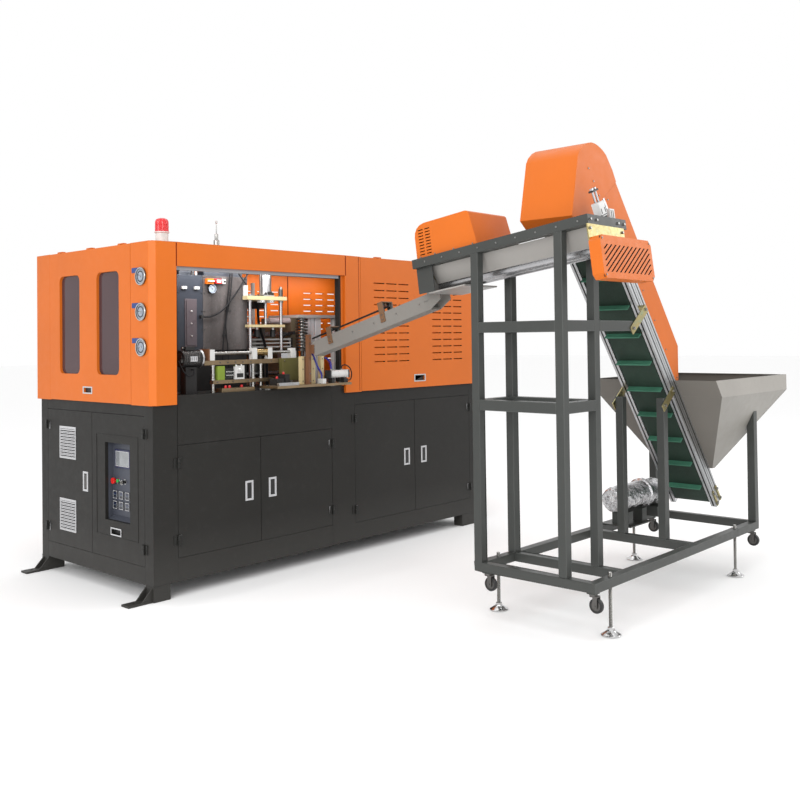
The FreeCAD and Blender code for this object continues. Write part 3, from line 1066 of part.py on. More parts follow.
# covers on the sorter: motor cover (folded, open below) and the drive guard
cov = prism("motor_cover", "YZ",
            [(729, 0), (1181, 0), (1181, 132), (1176, 158), (1160, 182), (1136, 197), (1104, 204), (790, 204), (776, 200), (766, 190)],
            1004, 350)
sk_in = [(732, -2), (1178, -2), (1178, 131), (1173, 156), (1158, 179), (1135, 194), (1103, 201), (791, 201), (778, 197), (769, 188)]
cov_hollow = prism("motor_cover_hollow", "YZ", sk_in, 1007, 344)
vents = []
for i in range(9):
    for j in range(2):
        vents.append(box("cover_vent", 1000, 1010, 1062 + 52 * j, 1100 + 52 * j, 20 + 18 * i, 26 + 18 * i))
motor_cover = cut("motor_cover_sheet", cov, cov_hollow, *vents)
GP = [(942, -148), (965, -123), (1425, -123), (1450, -148), (1450, -315), (1425, -340), (965, -340), (942, -315)]
GI = [(945, -149), (967, -126), (1423, -126), (1447, -149), (1447, -314), (1423, -337), (967, -337), (945, -314)]
guard_outer = prism("drive_guard_block", "XZ", GP, -75, 67)
guard_inner = prism("drive_guard_hollow", "XZ", GI, -72, 66)
slots = []
for i in range(17):
    xs = 762.0 + 41.0 * i
    a0 = max(-308.0, -308.0 + (962.0 - xs) / 1.4)
    a1 = min(-168.0, -308.0 + (1416.0 - xs) / 1.4)
    if a1 - a0 > 14.0:
        x0, x1 = xs + 1.4 * (a0 + 308.0), xs + 1.4 * (a1 + 308.0)
        slots.append(prism("guard_slot", "XZ", [(x0, a0), (x0 + 14, a0), (x1 + 14, a1), (x1, a1)], -78, 8))
guard_sheet = cut("drive_guard_sheet", guard_outer, guard_inner, *slots)
sorter_covers = [on_sorter("sorter_cover_pair", [motor_cover, guard_sheet])]

# kicker: small twin-rod cylinder over the near end of the table
kick = [on_sorter("kicker_set", [
    box("kicker_base", 1150, 1345, 52, 92, 0, 12), box("kicker_upright", 1300, 1345, 52, 92, 12, 70),
    prism("kicker_wedge", "XZ", [(1211.81, 12), (1268.19, 12), (1268.19, 34.26), (1211.81, 13.74)], 54, 36),
    tilt(group("kicker_tilted", [
        cut("kicker_body", box("kicker_block", -30, 30, -22, 22, 0, 78),
            cyl("kicker_hole", "Z", 6.06, -16, 0, -1, 82), cyl("kicker_hole", "Z", 6.06, 16, 0, -1, 82))]),
        1240, 72, 24, (0, 1, 0), -20),
])]
kick_rods = [on_sorter("kicker_moving", [
    tilt(group("kicker_rods_tilted", [
        cyl("kicker_rod", "Z", 6, -16, 0, 10, 128), cyl("kicker_rod", "Z", 6, 16, 0, 10, 128),
        box("kicker_yoke", -30, 30, -14, 14, 138, 148), box("kicker_nut", -23, -9, -7, 7, 148, 158), box("kicker_nut", 9, 23, -7, 7, 148, 158)]),
        1240, 72, 24, (0, 1, 0), -20),
])]

# ------------------------------------------------------------------ elevator
# drawn with -X up the slope: s up the slope is -X, h square to it is +Z


def s_box(name, s0, s1, y0, y1, h0, h1):
    return box(name, -size(s1), -size(s0), y0, y1, h0, h1)


hub = el_h / 2
rails = [on_elevator("rail_pair", [
    cut("rail_near", s_box("rail_near_bar", el_lo, el_hi, el_y0, el_y0 + el_w, 0, el_h),
        cyl("rail_bore", "Y", dr_bore, -dr_hi, el_y0 - 1, hub, el_w + 2), cyl("rail_bore", "Y", dr_bore, -dr_lo, el_y0 - 1, hub, el_w + 2)),
    cut("rail_far", s_box("rail_far_bar", el_lo, el_hi, el_y1 - el_w, el_y1, 0, el_h),
        cyl("rail_bore", "Y", dr_bore, -dr_hi, el_y1 - el_w - 1, hub, el_w + 2), cyl("rail_bore", "Y", dr_bore, -dr_lo, el_y1 - el_w - 1, hub, el_w + 2)),
])]
by0, by1 = size(-2013.0) - be_w / 2, size(-2013.0) + be_w / 2


def drum(name, s):
    return [on_elevator(name + "_turned", [fuse(name + "_solid",
            cyl(name + "_barrel", "Y", dr_r, -size(s), by0 - 3, hub, be_w + 6),
            cyl(name + "_shaft", "Y", dr_s, -size(s), el_y0 + 0.5, hub, el_y1 - el_y0 - 1))])]


def loop(name, r, y0, w):
    return fuse(name, cyl(name + "_head", "Y", r, -dr_hi, y0, hub, w), cyl(name + "_tail", "Y", r, -dr_lo, y0, hub, w),
                box(name + "_run", -dr_hi, -dr_lo, y0, y0 + w, hub - r, hub + r))


ri = dr_r + 0.3
belt_ring = cut("belt_ring", loop("belt_outer", ri + be_t, by0, be_w), loop("belt_inner", ri, by0 - 1, be_w + 2))
cleats = []
base_under = hub - ri - be_t
base_over = hub + ri + be_t
for k in range(12):
    s = size(-872.0) + cl_pitch * k
    if s.v < dr_hi.v - 40:
        cleats.append(s_box("cleat_under", s, s + 8, by0 + 6, by1 - 6, base_under - cl_h, base_under + 0.5))
for k in range(12):
    s = size(-912.0) + cl_pitch * k
    if s.v < dr_hi.v - 40:
        cleats.append(s_box("cleat_over", s, s + 8, by0 + 6, by1 - 6, base_over - 0.5, base_over + cl_h))
belt = [on_elevator("belt_loop", [fuse("belt_with_cleats", belt_ring, *cleats)])]

# covers over the carrying side
el_cov = [on_elevator("lower_cover_set", [
    # side sheets and top of the lower cover (bottom end cut level with the floor)
    prism("lower_cover_side", "XZ", [(-1270, 85), (-1270, 245), (108.0 - 160 * 1.2938, 245), (103.0, 88.9), (38.0, 88.9), (38.0, 85)], el_y0, 3),
    prism("lower_cover_side", "XZ", [(-1270, 85), (-1270, 245), (108.0 - 160 * 1.2938, 245), (103.0, 88.9), (38.0, 88.9), (38.0, 85)], el_y1 - 3, 3),
    prism("lower_cover_top", "XZ", [(-1270, 242), (-1270, 245), (108.0 - 160 * 1.2938, 245), (108.0 - 157 * 1.2938, 242)], el_y0 + 3, el_y1 - el_y0 - 6),
])]
# belt hood: side sheets in world axes and a wrapped top
HP = [(1127, 2158), (1192, 2481), (1212, 2514), (1249, 2545), (1288, 2563), (1327, 2572), (1366, 2571), (1401, 2563), (1440, 2548), (1479, 2525), (1545, 2450)]
a_el = math.radians(el_ang.v)


def el_world(s, h_):
    return (el_x.v - s * math.cos(a_el) + h_ * math.sin(a_el), el_z.v + s * math.sin(a_el) + h_ * math.cos(a_el))


e1 = el_world(1273, 247)
e2 = el_world(1273, -4)
lip = (1190.0, 2108.0)
side_prof = HP + [e1, e2, (1362.0, 2150.0), (1362.0, 2118.0), lip]
hood_far = prism("belt_hood_side", "XZ", side_prof, el_y1, 3)
hood_near = prism("belt_hood_side", "XZ", side_prof, el_y0 - 3, 3)


def shell_strip(name, pts, inward, y0, w):
    """Folded strip that follows a polyline, thickness towards 'inward' side."""
    n = len(pts)
    off = []
    for i in range(n):
        d = []
        for a, b in ((i - 1, i), (i, i + 1)):
            if 0 <= a and b < n:
                dx, dz = pts[b][0] - pts[a][0], pts[b][1] - pts[a][1]
                m = math.hypot(dx, dz)
                d.append((dz / m * inward, -dx / m * inward))
        if len(d) == 1:
            nx, nz = d[0]
            k = 1.0
        else:
            nx, nz = d[0][0] + d[1][0], d[0][1] + d[1][1]
            m = math.hypot(nx, nz)
            nx, nz = nx / m, nz / m
            k = 1.0 / (nx * d[0][0] + nz * d[0][1])
        off.append((pts[i][0] + nx * 2.5 * k, pts[i][1] + nz * 2.5 * k))
    return prism(name, "XZ", list(pts) + list(reversed(off)), y0, w)


wrap = shell_strip("belt_hood_wrap", [lip] + HP + [e1], 1, el_y0, el_y1 - el_y0)
el_cov += [hood_far, hood_near, wrap]

# zinc plated strap brackets
brackets = [on_elevator("strap_set", [
    s_box("strap", -92, -42, el_y0 - 6, el_y0, -150, 30), s_box("strap", -92, -42, el_y1, el_y1 + 6, -150, 30),
    s_box("strap", 532, 582, tw_y - 6, tw_y, -196, 22),
    s_box("strap_spacer", 536, 578, tw_y, el_y0, 2, 22),
    s_box("tensioner", -1052, -930, el_y0 - 6, el_y0, 8, 26), s_box("tensioner", -1052, -930, el_y0 - 6, el_y0, 59, 77),
    s_box("tensioner", -1052, -930, el_y1, el_y1 + 6, 8, 26), s_box("tensioner", -1052, -930, el_y1, el_y1 + 6, 59, 77),
])]

# -------------------------------------------------------------------- hopper
hp = {k: q.v for k, q in (("x1", hp_x1), ("y0", hp_y0), ("y1", hp_y1), ("rim", hp_rim), ("band", hp_band),
                          ("bx", hp_bx), ("bz", hp_bz), ("by", hp_by), ("t", hp_t), ("gap", hp_gap))}
ym = -2013.0


def plane_from(p, q, r, away):
    """Plane n.x = d through three points, n pointing away from 'away'."""
    n = (Vector(*q) - Vector(*p)).cross(Vector(*r) - Vector(*p))
    n.normalize()
    d = n.dot(Vector(*p))
    if n.dot(Vector(*away)) > d:
        n, d = n * -1, -d
    return (n, d)


def meet(a, b, c):
    """Point where three planes meet."""
    (n1, d1), (n2, d2), (n3, d3) = a, b, c
    den = n1.dot(n2.cross(n3))
    p = (n2.cross(n3) * d1 + n3.cross(n1) * d2 + n1.cross(n2) * d3) * (1.0 / den)
    return (p.x, p.y, p.z)


def inset(pl, t):
    return (pl[0], pl[1] - t)


inside = (2700.0, ym, 1100.0)
p_near = plane_from((0, hp["y0"], hp["band"]), (100, hp["y0"], hp["band"]), (0, ym - hp["by"], hp["bz"]), inside)
p_far = plane_from((0, hp["y1"], hp["band"]), (100, hp["y1"], hp["band"]), (0, ym + hp["by"], hp["bz"]), inside)
p_out = plane_from((hp["x1"], 0, hp["band"]), (hp["x1"], 100, hp["band"]), (hp["bx"], 0, hp["bz"]), inside)
sx, sz = math.sin(a_el), math.cos(a_el)
p_belt = (Vector(-sx, 0, -sz), -((el_x.v * sx + el_z.v * sz) + hp["gap"]))
p_band = (Vector(0, 0, 1), hp["band"])
p_bot = (Vector(0, 0, -1), -(hp["bz"] + 12.0))
t = hp["t"]
n_i, f_i, o_i, b_i = inset(p_near, t), inset(p_far, t), inset(p_out, t), inset(p_belt, t)


def three(pa, pb, pc):
    return meet(pa, pb, pc)


def side_sheet(name, side, side_in):
    """Sloping side sheet between the belt side and the outer end."""
    out_ = [three(side, p_belt, p_band), three(side, p_out, p_band), three(side, p_out, p_bot), three(side, p_belt, p_bot)]
    in_ = [three(side_in, b_i, p_band), three(side_in, o_i, p_band), three(side_in, o_i, p_bot), three(side_in, b_i, p_bot)]
    return slab(name, out_, in_)


floor_cut = (Vector(-sx, 0, -sz), -((el_x.v * sx + el_z.v * sz) + 132.0))
hop_parts = [
    side_sheet("hopper_side_near", p_near, n_i), side_sheet("hopper_side_far", p_far, f_i),
    # outer sloping sheet stops just short of the cleat tips
    slab("hopper_slope",
         [three(p_near, p_out, p_band), three(p_far, p_out, p_band), three(p_far, p_out, floor_cut), three(p_near, p_out, floor_cut)],
         [three(n_i, o_i, p_band), three(f_i, o_i, p_band), three(f_i, o_i, floor_cut), three(n_i, o_i, floor_cut)]),
]
for nm, side, side_in, yi in (("near", p_near, n_i, el_y0.v + el_w.v), ("far", p_far, f_i, el_y1.v - el_w.v)):
    lim = (Vector(0, 1, 0), yi)
    hop_parts.append(slab("hopper_belt_sheet_" + nm,
                          [three(p_belt, side, p_band), three(p_belt, lim, p_band), three(p_belt, lim, p_bot), three(p_belt, side, p_bot)],
                          [three(b_i, side_in, p_band), three(b_i, lim, p_band), three(b_i, lim, p_bot), three(b_i, side_in, p_bot)]))
t90 = math.tan(math.radians(90.0 - el_ang.v))


def belt_x(z, off=0.0):
    """X of the belt-side sheet at a height."""
    return el_x + (hp_gap + off) / math.sin(a_el) - (size(z) - el_z) * (math.cos(a_el) / math.sin(a_el))


band_near = prism("hopper_band_near", "XZ", [(belt_x(hp_band), hp_band), (hp_x1, hp_band), (hp_x1, hp_rim), (belt_x(hp_rim), hp_rim)], hp_y0, hp_t)
band_far = prism("hopper_band_far", "XZ", [(belt_x(hp_band), hp_band), (hp_x1, hp_band), (hp_x1, hp_rim), (belt_x(hp_rim), hp_rim)], hp_y1 - hp_t, hp_t)
band_out = box("hopper_band_outer", hp_x1 - hp_t, hp_x1, hp_y0 + hp_t, hp_y1 - hp_t, hp_band, hp_rim)
bb = [(belt_x(hp_band), hp_band), (belt_x(hp_band) + hp_t / math.sin(a_el), hp_band),
      (belt_x(hp_rim) + hp_t / math.sin(a_el), hp_rim), (belt_x(hp_rim), hp_rim)]
hop_parts += [band_near, band_far, band_out,
              prism("hopper_band_belt_near", "XZ", bb, hp_y0 + hp_t, el_y0 + el_w - hp_y0 - hp_t),
              prism("hopper_band_belt_far", "XZ", bb, el_y1 - el_w, hp_y1 - hp_t - el_y1 + el_w),
              # rolled lip inside the rim
              box("rim_lip_near", 2300, hp_x1 - hp_t, hp_y0 + hp_t, hp_y0 + 22, hp_rim - 3, hp_rim),
              box("rim_lip_far", 2300, hp_x1 - hp_t, hp_y1 - 22, hp_y1 - hp_t, hp_rim - 3, hp_rim),
              box("rim_lip_outer", hp_x1 - 22, hp_x1 - hp_t, hp_y0 + 22, hp_y1 - 22, hp_rim - 3, hp_rim)]

# -------------------------------------------------------------- blower motor
blower = [
    cyl("blower_cowl", "X", 78, 2195, -1755, 480, 20), cyl("blower_barrel", "X", 85, 2215, -1755, 480, 345),
    cyl("blower_flange", "X", 100, 2560, -1755, 480, 40), cyl("blower_neck", "X", 80, 2600, -1755, 480, 35),
    cyl("blower_volute", "X", 84, 2635, -1755, 480, 130),
    box("blower_foot", 2300, 2360, -1815, -1695, 308, 395), box("blower_foot", 2480, 2540, -1815, -1695, 308, 395),
    box("blower_base", 2280, 2560, -1840, lb_y1 - U, 300, 308),
    box("blower_shelf", 2280, 2560, lb_y1 - U, lb_y1, 300, 308),
    box("terminal_box", 2640, 2760, -1840, -1720, 318, 385),
    box("terminal_neck", 2680, 2720, -1780, -1740, 385, 388),
]


# ------------------------------------------------------------ casters, feet
def caster(i, cx, cy):
    cyv = size(cy) - ca_trail
    zc = lb_z0 - 62
    fork = [fuse("fork_%d" % i,
                 cyl("fork_disc", "Z", 22, cx, cy, LZ0 - 13, 6.7),
                 box("fork_bridge", cx - 17, cx + 17, cyv - 12, size(cy) + 12, LZ0 - 20, LZ0 - 13),
                 box("fork_cheek", cx - 17, cx - 13.5, cyv - 12, cyv + 14, LZ0 - 72, LZ0 - 20),
                 box("fork_cheek", cx + 13.5, cx + 17, cyv - 12, cyv + 14, LZ0 - 72, LZ0 - 20),
                 cyl("fork_axle", "X", ca_axle, cx - 20, cyv, zc, 40))]
    wheel = [ring("wheel_%d" % i, "X", ca_r, ca_bore, cx - 12, cyv, zc, 24)]
    return fork, wheel


def foot(i, x, y):
    return [cone("foot_pad", fo_r, 22, x, y, 8, 20), cyl("foot_disc", "Z", fo_r, x, y, 0, 8),
            cyl("foot_nut", "Z", 17, x, y, 28, 16), cyl("foot_stud", "Z", fo_s, x, y, 44, LZ1.v + 22 - 44)]


# ------------------------------------------------------------- named pieces
node("machine_frame", fp)
node("anchor_feet", feet)
node("cabinet_panels", cabinet_panels)
node("hood_panels", hood_panels)
node("pressure_gauges", gauges)
node("signal_beacon", beacon)
node("preheat_oven", oven)
node("clamp_frame", clamp_frame)
node("transfer_unit", transfer)
node("air_hoses", hose_parts)
node("preform_chute", chute)
node("loader_frame", loader)
node("sorter_table", sorter)
node("sorter_trough", trough)
node("loader_covers", sorter_covers + el_cov)
node("elevator_rails", rails)
node("elevator_belt", belt)
node("strap_brackets", brackets)
node("hopper", hop_parts)
node("blower_motor", blower)
node("kicker_cylinder", kick)
node("end_window_panel", window_panel)
node("window_panes", panes)
node("louvre_panel", louvre_panel)
node("end_door_left", end_left)
node("end_door_latch", end_latch)
node("end_door_right", end_right)
node("control_panel", ctl)
node("stop_button", button("stop", 515, 662, 19, 24, 14))
node("start_button", button("start", 478, 663, 11, 12, 7))
node("key_switch", button("key", 440, 655, 11, 11, 8) + [box("key_blade", BX - 31, BX - 11, 439, 441, 649, 661)])
node("selector_switch", button("selector", 400, 663, 11, 11, 8) + [box("selector_handle", BX - 20, BX - 11, 397.5, 402.5, 653.5, 672.5)])
for nm, parts in front_leaves + front_latches:
    node(nm, parts)
node("stretch_crosshead", crosshead)
node("clamp_platen", clamp_platen)
node("transfer_carriage", carriage)
node("sorter_roller_left", roller("roller_left", ro_xa))
node("sorter_roller_right", roller("roller_right", ro_xb))
node("head_drum", drum("head", dr_hi))
node("tail_drum", drum("tail", dr_lo))
for i, (cx, cy) in enumerate(CAST):
    fork, wheel = caster(i + 1, cx, cy)
    node("caster_fork_%d" % (i + 1), fork)
    node("caster_wheel_%d" % (i + 1), wheel)
FEET = [(x, y) for x in XF for y in (lb_y0 + U / 2, lb_y1 - U / 2)]
for i, (x, y) in enumerate(FEET):
    node("levelling_foot_%d" % (i + 1), foot(i + 1, x, y))
node("kicker_rods", kick_rods)

# --------------------------------------------------------- recompute, export
doc.recompute()
for sw, r, path in hoses:
    want = math.pi * size(r).v ** 2 * path.Shape.Length
    if abs(sw.Shape.Volume / want - 1) > 0.01:
        raise RuntimeError("hose volume of " + sw.Label)
bad = []
for o in doc.Objects:
    if any(k in ("Invalid", "Error") for k in o.State):
        bad.append("%s %s" % (o.Name, o.State))
for o in NODES:
    if o.Shape.isNull() or not o.Shape.isValid() or not o.Shape.Solids:
        bad.append("shape of " + o.Label)
if bad:
    raise RuntimeError("; ".join(bad))
os.makedirs("parts", exist_ok=True)
for o in NODES:
    o.Shape.exportStep(os.path.join("parts", o.Label + ".step"))
print("%d nodes, %d solids" % (len(NODES), sum(len(o.Shape.Solids) for o in NODES)))
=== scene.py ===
import json
import math
import random

import bmesh
import bpy
from mathutils import Matrix, Vector


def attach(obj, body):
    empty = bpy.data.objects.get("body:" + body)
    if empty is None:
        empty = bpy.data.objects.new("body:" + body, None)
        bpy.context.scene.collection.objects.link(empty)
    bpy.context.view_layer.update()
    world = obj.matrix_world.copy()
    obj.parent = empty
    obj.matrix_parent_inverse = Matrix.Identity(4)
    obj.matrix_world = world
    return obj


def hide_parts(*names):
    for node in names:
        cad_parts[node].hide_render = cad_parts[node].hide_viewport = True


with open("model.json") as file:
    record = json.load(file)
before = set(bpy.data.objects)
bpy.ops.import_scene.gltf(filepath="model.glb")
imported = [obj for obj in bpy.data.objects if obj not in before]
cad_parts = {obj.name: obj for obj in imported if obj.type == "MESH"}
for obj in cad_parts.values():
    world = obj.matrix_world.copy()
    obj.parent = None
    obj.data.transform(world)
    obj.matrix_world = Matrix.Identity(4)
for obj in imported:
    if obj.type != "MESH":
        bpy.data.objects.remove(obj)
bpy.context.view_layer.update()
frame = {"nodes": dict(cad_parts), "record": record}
rng = random.Random(7)

# The machine is laid out in millimetres from the near-left bottom corner of
# its cabinet: X along the front, Y away from the operator, Z up.
OX, OY = 1606.0, -542.4


def R(x, y, z):
    return Vector(((x - OX) / 1000.0, (y - OY) / 1000.0, z / 1000.0))


A_SO = math.radians(7.5)
A_CH = math.radians(15.1)
A_EL = math.radians(52.3)


def SO(x, l, w):
    """Sorter table: l down the slope, w square to it."""
    return R(x, -2365 + l * math.cos(A_SO) + w * math.sin(A_SO), 2136 - l * math.sin(A_SO) + w * math.cos(A_SO))


def CH(x, l, w):
    """Chute: l up the slope, w square to it."""
    return R(x, -122 - l * math.cos(A_CH) + w * math.sin(A_CH), 1509 + l * math.sin(A_CH) + w * math.cos(A_CH))


def EL(s, y, h):
    """Elevator: s up the slope, h square to the rails' underside."""
    return R(2166 - s * math.cos(A_EL) + h * math.sin(A_EL), y, 1230 + s * math.sin(A_EL) + h * math.cos(A_EL))


# ---------------------------------------------------------------- materials
def new_mat(name):
    m = bpy.data.materials.new(name)
    m.use_nodes = True
    nt = m.node_tree
    b = nt.nodes["Principled BSDF"]
    return m, nt, b


def node(nt, kind, **props):
    n = nt.nodes.new("ShaderNode" + kind)
    for k, v in props.items():
        setattr(n, k, v)
    return n


def lnk(nt, a, b):
    nt.links.new(a, b)


def noise(nt, vec, scale, detail=3.0, rough=0.55, stretch=None):
    if stretch is not None:
        mp = node(nt, "Mapping")
        mp.inputs["Scale"].default_value = stretch
        lnk(nt, vec, mp.inputs["Vector"])
        vec = mp.outputs["Vector"]
    n = node(nt, "TexNoise")
    n.inputs["Scale"].default_value = scale
    n.inputs["Detail"].default_value = detail
    n.inputs["Roughness"].default_value = rough
    lnk(nt, vec, n.inputs["Vector"])
    return n.outputs["Fac"]


def ramp(nt, fac, stops):
    r = node(nt, "ValToRGB")
    e = r.color_ramp.elements
    e[0].position, e[0].color = stops[0][0], tuple(stops[0][1]) + (1,)
    e[1].position, e[1].color = stops[-1][0], tuple(stops[-1][1]) + (1,)
    for p, c in stops[1:-1]:
        k = e.new(p)
        k.color = tuple(c) + (1,)
    lnk(nt, fac, r.inputs["Fac"])
    return r.outputs["Color"]


def maprange(nt, fac, a, b, c, d):
    m = node(nt, "MapRange")
    m.inputs["From Min"].default_value = a
    m.inputs["From Max"].default_value = b
    m.inputs["To Min"].default_value = c
    m.inputs["To Max"].default_value = d
    lnk(nt, fac, m.inputs["Value"])
    return m.outputs["Result"]


def mix(nt, fac, a, b):
    m = node(nt, "Mix", data_type="RGBA")
    if isinstance(fac, float):
        m.inputs[0].default_value = fac
    else:
        lnk(nt, fac, m.inputs[0])
    for s, v in ((6, a), (7, b)):
        if isinstance(v, (tuple, list)):
            m.inputs[s].default_value = tuple(v) + (1,)
        else:
            lnk(nt, v, m.inputs[s])
    return m.outputs[2]


def bump(nt, b, height, strength=0.2, dist=0.001):
    n = node(nt, "Bump")
    n.inputs["Strength"].default_value = strength
    n.inputs["Distance"].default_value = dist
    lnk(nt, height, n.inputs["Height"])
    lnk(nt, n.outputs["Normal"], b.inputs["Normal"])


def srgb(r, g, b):
    def f(c):
        c /= 255.0
        return c / 12.92 if c <= 0.04045 else ((c + 0.055) / 1.055) ** 2.4
    return (f(r), f(g), f(b))


def shade(c, k):
    return tuple(max(0.0, min(1.0, v * k)) for v in c)


def paint(name, col, rough=0.38, grain=900.0, depth=0.12, vary=0.06, dust=0.0, coat=0.0, spec=0.25, floor_dust=False):
    """Painted sheet: slow colour drift, fine powder-coat texture, handling marks."""
    m, nt, b = new_mat(name)
    tc = node(nt, "TexCoord").outputs["Object"]
    slow = noise(nt, tc, 2.3, 4)
    mid = noise(nt, tc, 19.0, 5, 0.62)
    c1 = ramp(nt, slow, [(0.3, shade(col, 1 - vary)), (0.7, shade(col, 1 + vary))])
    smudge = maprange(nt, mid, 0.55, 0.78, 0.0, 0.04 + dust)
    c2 = mix(nt, smudge, c1, tuple(0.55 * v + 0.45 * 0.32 for v in col))
    if floor_dust:
        sep = node(nt, "SeparateXYZ")
        lnk(nt, tc, sep.inputs[0])
        near = maprange(nt, sep.outputs["Z"], 0.02, 0.4, 0.07, 0.0)
        c2 = mix(nt, near, c2, (0.30, 0.29, 0.27))
    lnk(nt, c2, b.inputs["Base Color"])
    r = maprange(nt, mid, 0.3, 0.75, rough, rough + 0.14)
    lnk(nt, r, b.inputs["Roughness"])
    fine = noise(nt, tc, grain, 2, 0.5)
    bump(nt, b, fine, depth, 0.0006)
    b.inputs["Specular IOR Level"].default_value = spec
    if coat:
        b.inputs["Coat Weight"].default_value = coat
        b.inputs["Coat Roughness"].default_value = 0.18
    return m


def metal(name, col, rough=0.3, streak=(1, 1, 1), scale=60.0, vary=0.12, depth=0.08, spots=None):
    """Bare metal: brushed along the long axis, with stains and small pits."""
    m, nt, b = new_mat(name)
    tc = node(nt, "TexCoord").outputs["Object"]
    st = noise(nt, tc, scale, 4, 0.6, streak)
    sl = noise(nt, tc, 6.0, 5, 0.6)
    c = ramp(nt, sl, [(0.3, shade(col, 1 - vary)), (0.72, shade(col, 1 + vary * 0.6))])
    if spots:
        sp = noise(nt, tc, 45.0, 4, 0.7)
        c = mix(nt, maprange(nt, sp, 0.5, 0.72, 0.0, 0.7), c, spots)
    lnk(nt, c, b.inputs["Base Color"])
    b.inputs["Metallic"].default_value = 1.0
    lnk(nt, maprange(nt, st, 0.3, 0.7, max(0.03, rough - 0.1), rough + 0.12), b.inputs["Roughness"])
    bump(nt, b, st, depth, 0.0004)
    return m


def plastic(name, col, rough=0.45, coat=0.0, grain=700.0, depth=0.08, spec=0.35):
    m, nt, b = new_mat(name)
    tc = node(nt, "TexCoord").outputs["Object"]
    n1 = noise(nt, tc, 30.0, 4)
    lnk(nt, ramp(nt, n1, [(0.3, shade(col, 0.88)), (0.7, shade(col, 1.1))]), b.inputs["Base Color"])
    lnk(nt, maprange(nt, n1, 0.3, 0.7, rough - 0.06, rough + 0.1), b.inputs["Roughness"])
    bump(nt, b, noise(nt, tc, grain, 2), depth, 0.0004)
    b.inputs["Specular IOR Level"].default_value = spec
    if coat:
        b.inputs["Coat Weight"].default_value = coat
    return m


ORANGE = srgb(199, 100, 26)
M = {}
M["orange"] = paint("orange_powder_coat", ORANGE, 0.36, 1100, 0.10, 0.035)
# lighter orange for bevel faces: painted highlight along broken edges
M["orange_edge_highlight"] = paint("orange_edge_highlight", tuple(0.8 * v + 0.2 * 0.9 for v in ORANGE), 0.32, 1100, 0.06, 0.05)
# lighter orange for the inner face of the rear sheets: painted light
M["orange_lit"] = paint("orange_rear_sheet_lit", srgb(226, 112, 28), 0.4, 900, 0.1, 0.04)
# darker orange for inner faces: painted shade
M["orange_in"] = paint("orange_inner_face_shade", shade(ORANGE, 0.9), 0.5, 900, 0.12, 0.05)
CAB = srgb(35, 34, 32)
M["cab"] = paint("cabinet_powder_coat", CAB, 0.42, 650, 0.22, 0.07, floor_dust=True, spec=0.2)
# three times lighter cabinet paint for bevel faces: painted highlight along broken edges
M["cab_edge_highlight"] = paint("cabinet_edge_highlight", shade(CAB, 3.0), 0.38, 650, 0.12, 0.1)
# darker cabinet paint for inner parts: painted shade
M["cab_in"] = paint("cabinet_inner_shade", shade(CAB, 0.8), 0.5, 650, 0.15, 0.06)
LDR = srgb(60, 62, 60)
M["loader"] = paint("loader_tube_paint", LDR, 0.33, 800, 0.12, 0.08, floor_dust=True, coat=0.06)
# lighter loader paint for bevel faces: painted highlight along broken edges
M["loader_edge_highlight"] = paint("loader_edge_highlight", shade(LDR, 1.5), 0.3, 800, 0.1, 0.1)
LIT = srgb(146, 143, 139)
M["light"] = paint("light_grey_paint", LIT, 0.35, 900, 0.08, 0.05, coat=0.1)
# lighter grey for bevel faces: painted highlight along broken edges
M["light_edge_highlight"] = paint("light_edge_highlight", shade(LIT, 1.25), 0.3, 900, 0.08, 0.05)
HOP = srgb(136, 133, 127)
M["hopper"] = paint("hopper_paint", HOP, 0.34, 900, 0.08, 0.05)
# darker grey for the funnel's inner faces: painted shade
M["hopper_in"] = paint("hopper_inside_shade", srgb(84, 82, 79), 0.34, 900, 0.08, 0.08)
M["hopper_band"] = paint("hopper_band", srgb(152, 148, 142), 0.34, 900, 0.08, 0.05)
# lighter hopper grey for bevel faces: painted highlight along broken edges
M["hopper_edge_highlight"] = paint("hopper_edge_highlight", shade(HOP, 1.15), 0.3, 900, 0.08, 0.05)
OVN = srgb(84, 79, 78)
M["oven"] = paint("oven_sheet", OVN, 0.2, 500, 0.04, 0.1, coat=0.25)


def reflection_streaks(m, col):
    """Broad soft streaks up and down over the paint's own colour: painted reflections of a glossy sheet."""
    nt = m.node_tree
    b = [n for n in nt.nodes if n.type == "BSDF_PRINCIPLED"][0]
    tc = node(nt, "TexCoord").outputs["Object"]
    st = noise(nt, tc, 7.0, 3, 0.5, (1.0, 1.0, 0.12))
    c = ramp(nt, st, [(0.32, shade(col, 0.42)), (0.52, shade(col, 0.85)), (0.72, shade(col, 1.45))])
    lnk(nt, c, b.inputs["Base Color"])


# oven sheet: painted reflection streaks
reflection_streaks(M["oven"], OVN)
# lighter oven sheet for bevel faces: painted highlight along broken edges
M["oven_edge_highlight"] = paint("oven_edge_highlight", shade(OVN, 1.8), 0.3, 500, 0.06, 0.1)
M["steel"] = metal("machined_steel", (0.36, 0.355, 0.34), 0.28, (1, 1, 9), 90, 0.16)
# lighter, smoother steel for bevel faces: painted highlight along broken edges
M["steel_edge_highlight"] = metal("steel_edge_highlight", (0.52, 0.51, 0.49), 0.2, (1, 1, 1), 90, 0.1)
M["steel_dark"] = metal("dark_steel", (0.13, 0.125, 0.12), 0.38, (3, 1, 1), 90, 0.25)
M["rod"] = metal("chrome_rod", (0.42, 0.42, 0.43), 0.3, (1, 1, 1), 160, 0.06, 0.03)
M["chrome"] = metal("chrome_plate", (0.58, 0.58, 0.58), 0.16, (1, 1, 1), 60, 0.08, 0.04)
M["zinc"] = metal("yellow_zinc", (0.40, 0.33, 0.15), 0.34, (1, 1, 1), 70, 0.22, 0.08, (0.22, 0.36, 0.26))
